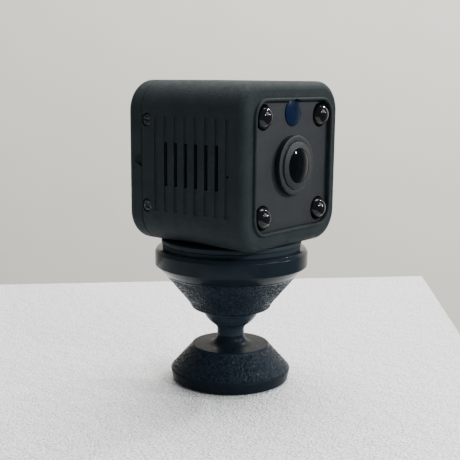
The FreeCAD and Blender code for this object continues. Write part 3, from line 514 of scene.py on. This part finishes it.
# Inner materials
board_green = simple("solder_mask", (0.010, 0.085, 0.040), (0.016, 0.115, 0.055), rough=0.30,
                     scale=0.8, depth=0.006)
chip_black = simple("chip_epoxy", (0.016, 0.016, 0.017), (0.026, 0.026, 0.027), rough=0.55,
                    scale=2.0, depth=0.006)
nylon = simple("natural_nylon", (0.66, 0.64, 0.57), (0.74, 0.72, 0.65), rough=0.42, scale=0.4, depth=0.004)
foil = simple("pouch_foil", (0.44, 0.46, 0.48), (0.56, 0.58, 0.60), rough=0.38,
              scale=0.6, depth=0.03, Metallic=0.8)
foam_grey = simple("foam_tape", (0.06, 0.06, 0.06), (0.10, 0.10, 0.10), rough=0.9, scale=3.0, depth=0.05)
amber = simple("polyimide", (0.42, 0.19, 0.03), (0.55, 0.27, 0.05), rough=0.3, scale=0.5, depth=0.002)

# Glass and clear plastic
# Painted shade: the front lens is opaque, near-black glass, standing in for the dark inside of the lens seen
# through it.
lens_glass = simple("lens_glass_painted_shade", (0.0008, 0.0016, 0.0024), (0.0016, 0.0028, 0.0040), rough=0.060,
                    scale=0.6, depth=0.0, Specular_IOR_Level=0.06)
clear_glass = simple("coated_glass", (0.30, 0.33, 0.40), (0.34, 0.36, 0.42), rough=0.02,
                     scale=0.3, depth=0.0, Transmission_Weight=1.0, IOR=1.6)
light_pipe = simple("clear_pipe", (0.70, 0.74, 0.80), (0.80, 0.84, 0.88), rough=0.08,
                    scale=0.5, depth=0.001, Transmission_Weight=0.85, IOR=1.5)


def dress(thing, *materials):
    thing.data.materials.clear()
    for material in materials:
        thing.data.materials.append(material)
    return thing


def second_material(thing, chosen):
    """Gives the faces that a test picks by their middle, in millimetres, and normal the second material."""
    for face in thing.data.polygons:
        if chosen(face.center / MM, face.normal):
            face.material_index = 1


def keep(thing, body, slot_name, *replaced):
    """Puts a finished piece on its body, in place of CAD nodes."""
    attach(thing, body)
    if replaced:
        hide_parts(*replaced)
    return thing


# Case

def side_boxes(depth, half_z, numbers):
    """Boxes that cut the numbered grooves into both sides."""
    boxes = []
    for side in (-1, 1):
        ends = sorted((side * (CASE_HALF + OVERCUT), side * (CASE_HALF - depth)))
        for number in numbers:
            y = CASE_Y + GROOVE_FIRST - GROOVE_PITCH * number
            boxes.append(((ends[0], y - GROOVE_WIDTH / 2, CASE_Z - half_z),
                          (ends[1], y + GROOVE_WIDTH / 2, CASE_Z + half_z)))
    return boxes


def side_rods(radius, depth):
    """Rods that cut into both sides at the screws."""
    items = []
    for side in (-1, 1):
        x = -CASE_HALF - OVERCUT if side < 0 else CASE_HALF - depth
        for up in (-1, 1):
            start = (x, CASE_Y + SCREW_ROW, CASE_Z + up * SCREW_SPREAD)
            items.append((start, "x", radius, depth + OVERCUT))
    return items


def lip_loops():
    """The raised lip round the opening, from its outer foot over the top to the opening's wall."""
    wide, tall, corner = OPENING
    loops = [rounded_loop(wide + LIP_WIDTH, tall + LIP_WIDTH, corner + LIP_WIDTH, FRONT)]
    middle = FRONT - LIP_HEIGHT + LIP_ROUND
    for centre, start in ((LIP_WIDTH - LIP_ROUND, 0), (LIP_ROUND, 90)):
        for step in range(5):
            angle = math.radians(start + 90 * step / 4)
            grow = centre + LIP_ROUND * math.cos(angle)
            loops.append(rounded_loop(wide + grow, tall + grow, corner + grow,
                                      middle - LIP_ROUND * math.sin(angle)))
    return loops


def shell_cutters():
    """Grooves, slots, screw seats, pinhole, card slot and the window's relief, each as one object."""
    grooves = from_bmesh("grooves", box_bmesh(side_boxes(GROOVE_DEPTH, GROOVE_HALF, range(GROOVES))))
    slots = from_bmesh("slots", box_bmesh(side_boxes(CASE_WALL + OVERCUT, SLOT_HALF, SLOTS)))
    recesses = from_bmesh("recesses", rods(bmesh.new(), side_rods(*SCREW_RECESS)))
    holes = from_bmesh("holes", rods(bmesh.new(), side_rods(SCREW_HOLE, CASE_WALL + OVERCUT)))
    pin_radius, pin_drop = PIN_HOLE
    pin_length = 4
    last_groove = CASE_Y + GROOVE_FIRST - GROOVE_PITCH * (GROOVES - 1)
    pin_start = (-CASE_HALF - OVERCUT, last_groove, CASE_Z - pin_drop)
    pin = from_bmesh("pin", rods(bmesh.new(), [(pin_start, "x", pin_radius, pin_length)], 24))
    card_place, card_wide, card_tall = CARD_SLOT
    card_y = CASE_Y + card_place
    card_depth = 3
    card = from_bmesh("card", box_bmesh([
        ((CASE_HALF - card_depth, card_y - card_wide, CASE_Z - card_tall),
         (CASE_HALF + OVERCUT, card_y + card_wide, CASE_Z + card_tall))]))
    relief_start = (0, FRONT - LIP_HEIGHT - OVERCUT, window_mid.z)
    relief_length = LIP_HEIGHT + FRONT_WALL + 2 * OVERCUT
    relief = from_bmesh("relief", rods(bmesh.new(), [
        (relief_start, "y", window_half.x + WINDOW_RELIEF_GAP, relief_length)], 72))
    return [grooves, slots, recesses, holes, pin, card, relief]


def make_case_shell():
    outer = CASE_HALF
    inner = CASE_HALF - CASE_WALL
    inner_corner = CASE_CORNER - CASE_WALL
    face = outer - FRONT_ROUND + FACE_START
    wide, tall, corner = OPENING
    loops = [rounded_loop(outer - EDGE, outer - EDGE, CASE_CORNER - EDGE, SEAM),
             rounded_loop(outer, outer, CASE_CORNER, SEAM - EDGE)]
    loops += fillet_loops(outer, outer, CASE_CORNER, FRONT, FRONT_ROUND, 1, steps=9, sweep=80)
    loops.append(rounded_loop(face, face, CASE_CORNER - FRONT_ROUND + FACE_START, FRONT))
    loops += lip_loops()
    loops += [rounded_loop(wide, tall, corner, LEDGE),
              rounded_loop(inner, inner, inner_corner, LEDGE),
              rounded_loop(inner, inner, inner_corner, SEAM)]
    shell = from_bmesh("case_shell", loft(bmesh.new(), loops))
    cut_away(shell, shell_cutters())
    soften(shell, width=0.09)
    keep(dress(shell, case_plastic), "camera", "case_plastic", "housing_shell")


def wedge_bmesh(ends, height):
    """A wedge that cuts into the left side. Each end is (place behind the seam, depth, half height)."""
    loops = []
    for place, depth, half in ends:
        y = SEAM + place
        inner, outer = depth - CASE_HALF, -CASE_HALF - OVERCUT
        loops.append([Vector((inner, y, height - half)), Vector((inner, y, height + half)),
                      Vector((outer, y, height + half)), Vector((outer, y, height - half))])
    return loft(bmesh.new(), loops, caps=True)


def usb_mouth_bmesh(wall):
    """A flat-sided round-ended plug shape that cuts the inlet's mouth into the back."""
    mid, half = spot("usb_shell")
    end_radius = half.z + USB_GAP
    reach = half.x + USB_GAP - end_radius
    points = 48
    loops = []
    for y in (wall - OVERCUT, BACK + OVERCUT):
        ring = []
        for k in range(points):
            angle = TAU * (k + 0.5) / points
            side = reach if math.cos(angle) > 0 else -reach
            ring.append(Vector((side + end_radius * math.cos(angle), y,
                                mid.z + end_radius * math.sin(angle))))
        loops.append(ring)
    return loft(bmesh.new(), loops, caps=True)


def cover_cutters(wall):
    """The knob's slot, the button's and light's holes, the inlet's mouth and the pry notch."""
    knob_mid, knob_half = spot("switch_knob")
    button_mid = spot("reset_button")[0]
    status_mid, status_half = spot("status_light")
    beside, travel, above = KNOB_ROOM
    slot = box_bmesh([
        ((knob_mid.x - knob_half.x - beside, wall - OVERCUT, knob_mid.z - knob_half.z - above),
         (knob_mid.x + knob_half.x + travel, BACK + OVERCUT, knob_mid.z + knob_half.z + above))])
    notch = wedge_bmesh(NOTCH, CASE_Z + NOTCH_RISE)
    through = 4
    holes = rods(bmesh.new(), [
        ((button_mid.x, wall - OVERCUT, button_mid.z), "y", BUTTON_HOLE, through),
        ((status_mid.x, wall - OVERCUT, status_mid.z), "y", status_half.x + STATUS_GAP, through)])
    return [from_bmesh("cover_slots", slot), from_bmesh("cover_holes", holes),
            from_bmesh("usb_mouth", usb_mouth_bmesh(wall)), from_bmesh("notch", notch)]


def make_rear_cover():
    outer, inner = CASE_HALF, CASE_HALF - CASE_WALL
    inner_corner = CASE_CORNER - CASE_WALL
    wall = BACK - CASE_WALL
    loops = [rounded_loop(inner, inner, inner_corner, wall),
             rounded_loop(inner, inner, inner_corner, SEAM),
             rounded_loop(outer - EDGE, outer - EDGE, CASE_CORNER - EDGE, SEAM),
             rounded_loop(outer, outer, CASE_CORNER, SEAM + EDGE)]
    loops += fillet_loops(outer, outer, CASE_CORNER, BACK, REAR_ROUND, -1, steps=8)
    cover = from_bmesh("back_cover", loft(bmesh.new(), loops, caps=True))
    cut_away(cover, cover_cutters(wall))
    soften(cover, width=0.12)
    keep(dress(cover, case_plastic), "camera", "case_plastic", "rear_cover")


def make_panel():
    """The front panel with the raised ring round the lens and the holes for lamps, lens and window."""
    half = panel_half.x
    wide, tall, corner = (size - PANEL_GAP for size in OPENING)
    loops = [rounded_loop(half, half, PANEL_CORNER, PANEL_BACK),
             rounded_loop(half, half, PANEL_CORNER, LEDGE),
             rounded_loop(wide, tall, corner, LEDGE), rounded_loop(wide, tall, corner, PANEL)]
    panel = from_bmesh("face_panel", loft(bmesh.new(), loops, caps=True))
    boss_radius, boss_reach, boss_round = LENS_BOSS
    face = PANEL - boss_reach
    root = PANEL + 0.7
    core = LENS_HOLE - 1
    ring = rounded_profile([(core, root), (core, face), (boss_radius, face, boss_round), (boss_radius, root)])
    boss = from_bmesh("boss", revolve(bmesh.new(), ring, (0, 0, CASE_Z), "y", 96))
    modify(panel, "BOOLEAN", operation="UNION", object=boss, solver="EXACT")
    freeze(panel)
    bpy.data.objects.remove(boss)
    through = 6
    start = PANEL - 2 * OVERCUT
    drills = [((0, face - OVERCUT, CASE_Z), "y", LENS_HOLE, through),
              ((0, start, window_mid.z), "y", window_half.x + WINDOW_HOLE_GAP, through)]
    for right in (-1, 1):
        for up in (-1, 1):
            place = (right * LAMP_SPREAD, start, CASE_Z + up * LAMP_SPREAD)
            drills.append((place, "y", LAMP_HOLE, through))
    cut_away(panel, [from_bmesh("drills", rods(bmesh.new(), drills, 72))])
    soften(panel, width=0.12)
    dress(panel, panel_plastic, boss_wall_painted_shade)
    # The boss's side wall gets the darker second material: painted shade on that wall.
    wall_slack = 0.3
    second_material(panel, lambda middle, normal: abs(normal.y) < 0.6
                    and abs(math.hypot(middle.x, middle.z - CASE_Z) - boss_radius) < wall_slack)
    keep(panel, "camera", "panel_plastic", "front_panel")


def dome(tip, curve, rim, steps):
    """The profile of a dome, from its tip to its rim. The curve and the rim are radii."""
    spread = math.asin(rim / curve)
    angles = [spread * k / steps for k in range(steps + 1)]
    return [(curve * math.sin(a), tip + curve * (1 - math.cos(a))) for a in angles]


def make_lamps():
    tip = lamps_mid.y - lamps_half.y
    end = lamps_mid.y + lamps_half.y
    flange_radius, flange_depth = LAMP_FLANGE
    flange = end - flange_depth
    for number, (right, up) in enumerate(((-1, 1), (1, 1), (-1, -1), (1, -1)), start=1):
        profile = dome(tip, LAMP_RADIUS, LAMP_RADIUS, 20)
        profile += [(LAMP_RADIUS, flange), (flange_radius, flange), (flange_radius, end), (0, end)]
        place = (right * LAMP_SPREAD, 0, CASE_Z + up * LAMP_SPREAD)
        lamp = turned_piece(f"night_lamp_{number}", profile, place, "y", 72)
        keep(dress(lamp, lamp_epoxy), "camera", "lamp_epoxy", "ir_lamps")


def make_window():
    front, end = window_mid.y - window_half.y, window_mid.y + window_half.y
    profile = dome(front, WINDOW_CURVE, window_half.x, 8)
    profile += [(window_half.x, PANEL_BACK), (WINDOW_STEM, PANEL_BACK), (WINDOW_STEM, end), (0, end)]
    pane = turned_piece("blue_window", profile, (0, 0, window_mid.z), "y", 72)
    keep(dress(pane, window_blue), "camera", "window_blue", "light_window")


def make_lens():
    lip = barrel_mid.y - barrel_half.y
    end = barrel_mid.y + barrel_half.y
    head = barrel_half.x
    seat = glass_mid.y + glass_half.y
    fit = GLASS_RADIUS + GLASS_GAP
    head_depth, head_fall, head_round = LENS_HEAD
    shoulder = lip + head_depth
    profile = [(fit, lip), (head, lip + head_fall, head_round), (head, shoulder), (LENS_STEM, shoulder),
               (LENS_STEM, end), (LENS_BORE, end), (LENS_BORE, seat), (fit, seat), (fit, lip)]
    outline = rounded_profile(profile)[:-1]
    barrel = turned_piece("lens_tube", outline, (0, 0, CASE_Z), "y", 128, angle=30)
    keep(dress(barrel, panel_plastic), "camera", "lens_metal", "lens_barrel")
    tip = glass_mid.y - glass_half.y
    profile = dome(tip, GLASS_CURVE, GLASS_RADIUS, 24) + [(GLASS_RADIUS, seat), (0, seat)]
    # The front glass takes the opaque near-black material: painted shade for the lens's dark inside.
    glass = turned_piece("lens_glass", profile, (0, 0, CASE_Z), "y", 128)
    keep(dress(glass, lens_glass), "camera", "lens_glass", "lens_front_element")


def make_screw(side, up):
    """One cross-head screw, drawn upright and then laid into the side."""
    radius, fall, rounding, height = SCREW_HEAD
    shank, length = SCREW_SHANK
    long_share, narrow_share, depth = SCREW_CROSS
    head = rounded_profile([(0, 0), (radius, -fall, rounding), (radius, -height), (shank, -height),
                            (shank, -length), (0, -length)])
    screw = from_bmesh(f"side_screw_{'left' if side < 0 else 'right'}_{'top' if up > 0 else 'low'}",
                       revolve(bmesh.new(), head, sides=64))
    wide, narrow = radius * long_share, radius * narrow_share
    above = 0.1
    cross = from_bmesh("cross", box_bmesh([((-wide, -narrow, -depth), (wide, narrow, above)),
                                           ((-narrow, -wide, -depth), (narrow, wide, above))]))
    cut_away(screw, [cross])
    soften(screw, width=0.03, segments=1)
    own_turn = 0.35 * up + 0.5 * side       # each screw was driven home to its own angle
    turn = Matrix.Rotation(side * math.pi / 2, 4, "Y") @ Matrix.Rotation(own_turn, 4, "Z")
    place = Vector((side * (CASE_HALF - SCREW_SINK), CASE_Y + SCREW_ROW, CASE_Z + up * SCREW_SPREAD)) * MM
    screw.data.transform(Matrix.Translation(place) @ turn)
    keep(dress(screw, screw_black), "camera", "black_screw", "case_screws")


# Stand

noise.seed_set(GRAIN_SEED)


def pebbles(radius, place, angle, low, high):
    """Leather grain: rounded pebbles with narrow valleys between them, fading out at the zone's ends."""
    edge = min(place - low, high - place)
    if edge <= 0:
        return 0
    frequency, strength = GRAIN_WARP
    point = Vector((radius * math.cos(angle), radius * math.sin(angle), place)) / GRAIN_CELL
    warp = noise.noise_vector(point * frequency) * strength
    near = noise.voronoi(point + warp)[0]
    pebble = min(1.0, (near[1] - near[0]) * GRAIN_STEEPNESS)
    return (pebble - 1.0) * GRAIN_DEPTH * min(1.0, edge / GRAIN_FADE)


def make_foot():
    base, neck_top, widest = heights("foot_shell")
    base_radius, base_round = FOOT_BASE
    widest_height, widest_round = FOOT_WIDEST
    hollow_radius, hollow_height = FOOT_HOLLOW
    seat_radius, seat_height = PAD_SEAT
    pin_radius = SPIGOT[0]
    flare = [(NECK_RADIUS + NECK_FILLET * (1 - math.sin(a)), FOOT_TOP + NECK_FILLET * (1 - math.cos(a)))
             for a in (math.pi / 2 * k / 12 for k in range(13))]
    profile = rounded_profile([(seat_radius, base), (base_radius, base, base_round),
                               (widest, widest_height, widest_round),
                               (FOOT_TOP_RADIUS, FOOT_TOP, FOOT_TOP_ROUND),
                               (NECK_RADIUS + NECK_FILLET, FOOT_TOP)])[:-1] + flare
    profile += [(pin_radius, neck_top), (pin_radius, hollow_height), (hollow_radius, hollow_height),
                (hollow_radius, seat_height), (seat_radius, seat_height)]
    profile = refine(profile, widest_height + 0.05, FOOT_TOP - 0.02, GRAIN_MESH)
    grain_low, grain_high = 3.05, FOOT_TOP - 0.25
    outside = 8         # the neck and the pin's hole lie inside this radius and stay smooth

    def grain(radius, place, angle):
        return pebbles(radius, place, angle, grain_low, grain_high) if radius > outside else 0

    foot = turned_piece("grained_foot", profile, sides=560, angle=50, shift=grain)
    dress(foot, stand_grain, stand_smooth)
    rough_low, rough_high = 3.1, FOOT_TOP - 0.2
    second_material(foot, lambda middle, normal: not rough_low < middle.z < rough_high)
    keep(foot, "foot", "stand_plastic", "foot_shell")


def make_ball():
    """The ball with its neck, and the pin under it that the foot holds."""
    ball_top, radius = heights("ball_stud")[1:]
    neck_base = heights("foot_shell")[1]
    pin_radius, pin_end = SPIGOT
    centre = ball_top - radius
    step = 0.01
    start = math.asin(NECK_RADIUS / radius)
    ball = [(0, pin_end), (pin_radius, pin_end), (pin_radius, neck_base), (NECK_RADIUS, neck_base + step),
            (NECK_RADIUS, centre - radius * math.cos(start) - NECK_GAP)]
    ball += [(radius * math.sin(a), centre - radius * math.cos(a))
             for a in (start + BALL_START + (math.pi - start - BALL_START) * k / 60 for k in range(60))]
    ball += [(0, centre + radius)]
    stud = turned_piece("ball_and_stem", ball, sides=160)
    keep(dress(stud, ball_plastic), "foot", "ball_plastic", "ball_stud")


def make_pad():
    """The rubber pad, with ring grooves on its underside."""
    edge = heights("foot_pad")[2]
    top = PAD_SEAT[1]
    low_half, high_half, depth = PAD_GROOVE
    rings = [(0, 0), (2, 0)]
    for k in range(1, PAD_GROOVES + 1):
        r = edge * k / (PAD_GROOVES + 1)
        rings += [(r - low_half, 0), (r - high_half, depth), (r + high_half, depth), (r + low_half, 0)]
    rings += [(edge - inset, height) for inset, height in PAD_EDGE]
    rings += [(edge, top), (0, top)]
    pad = turned_piece("rubber_foot_pad", rings, sides=128)
    keep(dress(pad, pad_rubber), "foot", "pad_rubber", "foot_pad")


def cone_inside(place):
    """A radius between the cone's outer and inner walls at a height."""
    low_height = CUP_LOW[1]
    return CONE_MIDDLE + (place - low_height) * CONE_SLOPE if place > low_height else LIP_MIDDLE


def make_cup():
    lip, top, widest = heights("cup_shell")
    lip_radius, lip_round = CUP_LIP
    rim_outer, rim_inner = CUP_RIM
    hollow_radius, hollow_floor = CUP_HOLLOW
    seat_outer, seat_inner = SEAT_WALL
    low = math.asin((BALL_HEIGHT - CUP_FLOOR) / BALL_GRIP)
    high = math.asin((BALL_HEIGHT - lip) / BALL_GRIP)
    inner = [(BALL_GRIP * math.cos(a), BALL_HEIGHT - BALL_GRIP * math.sin(a))
             for a in (low + (high - low) * k / 6 for k in range(7))]
    outer = rounded_profile([(inner[-1][0], lip), (lip_radius, lip, lip_round), CUP_LOW,
                             (widest, top, CUP_TOP_EDGE), (rim_outer, top)], 8)
    profile = inner + outer[1:]
    profile += [(rim_inner, top), (hollow_radius, hollow_floor), (seat_outer, hollow_floor),
                (seat_outer, top), (seat_inner, top), (seat_inner, CUP_FLOOR)]
    profile = refine(profile, lip + 0.3, top - 0.05, GRAIN_MESH)
    grain_low, grain_high = lip + 0.5, top - 0.35

    def grain(radius, place, angle):
        return pebbles(radius, place, angle, grain_low, grain_high) if radius > cone_inside(place) else 0

    cup = turned_piece("grained_cone", profile, sides=600, angle=50, shift=grain)
    dress(cup, stand_grain, stand_smooth)
    second_material(cup, lambda middle, normal: not grain_low < middle.z < grain_high)
    keep(cup, "cup", "stand_plastic", "cup_shell")


def make_band():
    base, peak, widest = heights("magnet_housing")
    foot_inner, foot_outer, foot_round = BAND_FOOT
    top_outer, top_inner = BAND_TOP
    floor, hole = MAGNET_FLOOR
    outer = rounded_profile([(foot_inner, base), (foot_outer, base, foot_round)]
                            + [(widest, height, rounding) for height, rounding in BAND_EDGES]
                            + [BAND_STEP, (top_outer, peak)], 5)
    ring = outer + [(top_inner, peak), (top_inner, floor), (hole, floor), (hole, base)]
    band = turned_piece("gloss_band", ring, sides=200, angle=30)
    keep(dress(band, stand_gloss), "cup", "stand_gloss", "magnet_housing")


def make_disc():
    """The magnetic disc, with a thin waist line round its edge and a shallow ring in its top."""
    base, peak, edge = heights("mount_disc")
    waist, groove = (edge - inset for inset in DISC_WAIST)
    groove_low, groove_middle, groove_high = (base + height for height in DISC_GROOVE)
    upper_height, low_round, high_round = DISC_UPPER
    ring_outer, ring_floor_outer, ring_floor_inner, ring_inner = (edge - inset for inset in DISC_RING)
    ring_floor = peak - DISC_RING_DEPTH
    outer = rounded_profile([(0, base), (waist, base), (waist, groove_low), (groove, groove_middle),
                             (waist, groove_high), (edge, base + upper_height, low_round),
                             (edge, peak, high_round), (ring_outer, peak), (ring_floor_outer, ring_floor),
                             (ring_floor_inner, ring_floor), (ring_inner, peak), (0, peak)], 4)
    disc = turned_piece("magnet_disc", outer, sides=200, angle=40)
    keep(dress(disc, disc_rubber), "cup", "disc_rubber", "mount_disc")


make_case_shell()
make_rear_cover()
make_panel()
make_lamps()
make_window()
make_lens()
for side in (-1, 1):
    for up in (-1, 1):
        make_screw(side, up)
make_foot()
make_ball()
make_pad()
make_cup()
make_band()
make_disc()

# CAD pieces that keep their own shape
finishes = {
    steel: ("foot_weight", "foot_screw", "cup_screws", "disc_spring", "ir_lamp_leads", "board_screws",
            "keeper_plate"),
    nylon: ("ball_liner", "ball_seat"),
    nickel: ("stand_magnet",),
    board_green: ("lamp_board", "sensor_board", "main_board"),
    chip_black: ("light_sensor", "lens_holder", "image_sensor", "board_header", "processor", "usb_tongue",
                 "button_switch"),
    amber: ("lamp_ribbon", "antenna"),
    clear_glass: ("lens_middle_element", "lens_rear_element", "ir_filter"),
    gold: ("board_spacers",),
    foam_grey: ("battery_pad",),
    foil: ("battery",),
    tinned: ("wifi_module", "microphone", "usb_shell", "power_switch", "card_socket"),
    ball_plastic: ("switch_knob", "reset_button"),
    light_pipe: ("status_light", "status_lamp"),
}
for material, names in finishes.items():
    for name in names:
        dress(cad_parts[name], material)


# Stage, light and camera

def toward(azimuth, elevation):
    """A unit vector out from the object. The azimuth, in degrees, runs from -Y towards +X."""
    a, e = math.radians(azimuth), math.radians(elevation)
    return Vector((math.sin(a) * math.cos(e), -math.cos(a) * math.cos(e), math.sin(e)))


def make_floor():
    """A slab of white foam, its sizes in millimetres, with its top at the object's foot."""
    corners = ((130, 15), (-101, 238), (-314, 90), (-83, -133))
    centre = (-92, 52)
    thickness, edge = 25.0, 0.8
    rings = []
    for z, inset in ((-thickness, 0.0), (-edge, 0.0), (0.0, edge)):
        middle = Vector((*centre, z))
        ring = []
        for x, y in corners:
            out = Vector((x, y, z)) - middle
            ring.append(middle + out - out.normalized() * inset)
        rings.append(ring)
    floor = from_bmesh("foam_floor", loft(bmesh.new(), rings, caps=True))
    white = new_material("pale_floor", (0.86, 0.87, 0.86), 0.55, Specular_IOR_Level=0.5)
    tint(white, noise_map(white, 1.6, 2.0, 0.42, 0.58), (0.70, 0.72, 0.715), (1.0, 1.0, 1.0))
    bump(white, (noise_map(white, 2.0, 3.0), 0.55), (noise_map(white, 0.3, 2.0), 0.4))
    dress(floor, white)


def make_wall():
    """A plain pale wall behind the floor, its sizes in metres, square to the view."""
    bpy.ops.mesh.primitive_plane_add(size=3.0, location=(0.42, 0.335, 0.2),
                                     rotation=(math.pi / 2, 0, math.radians(-51.5)))
    wall = bpy.context.object
    wall.name = "backdrop"
    grey = new_material("pale_wall", (0.84, 0.80, 0.71), 0.9, Specular_IOR_Level=0.1)
    tint(grey, noise_map(grey, 0.015, 2.0), (0.83, 0.79, 0.70), (0.86, 0.82, 0.73))
    dress(wall, grey)


def add_light(name, azimuth, elevation, distance, size, power):
    """A round soft light that faces the case's middle. Its angles are those of toward()."""
    direction = toward(azimuth, elevation)
    light = bpy.data.lights.new(name, "AREA")
    light.shape = "DISK"
    light.size = size
    light.energy = power
    thing = add_object(name, light)
    thing.location = Vector((0, 0, CASE_Z * MM)) + direction * distance
    thing.rotation_euler = direction.to_track_quat("Z", "Y").to_euler()


def make_lights():
    """One broad light above, a weak one in front, three small lamps for highlights, and a dim room."""
    add_light("overhead", 118, 74, distance=0.75, size=0.60, power=14.5)
    add_light("room_front", 20, 30, distance=0.9, size=0.45, power=4.0)
    for number, (azimuth, elevation) in enumerate(((-8, 24), (40, 17.5), (78, 40)), start=1):
        add_light(f"lamp_spot_{number}", azimuth, elevation, distance=0.9, size=0.036, power=4.5)
    world = bpy.data.worlds.new("room")
    bpy.context.scene.world = world
    world.use_nodes = True
    sky = world.node_tree.nodes["Background"]
    sky.inputs["Color"].default_value = (0.90, 0.95, 1.0, 1)
    sky.inputs["Strength"].default_value = 0.30


def make_camera():
    """Looks at the stand's axis from the front left, a little above."""
    distance, target_height = 0.20478, 0.02816
    roll = math.radians(0.54)
    back = toward(-51.52, 11.74)
    data = bpy.data.cameras.new("camera")
    data.sensor_width = 36.0
    data.lens = 69.37
    data.shift_x = -0.0028
    data.shift_y = 0.0657
    data.clip_start = 0.01
    camera = add_object("camera", data)
    turn = back.to_track_quat("Z", "Y").to_matrix() @ Matrix.Rotation(roll, 3, "Z")
    place = Vector((0, 0, target_height)) + back * distance
    camera.matrix_world = Matrix.Translation(place) @ turn.to_4x4()
    bpy.context.scene.camera = camera


make_floor()
make_wall()
make_lights()
make_camera()
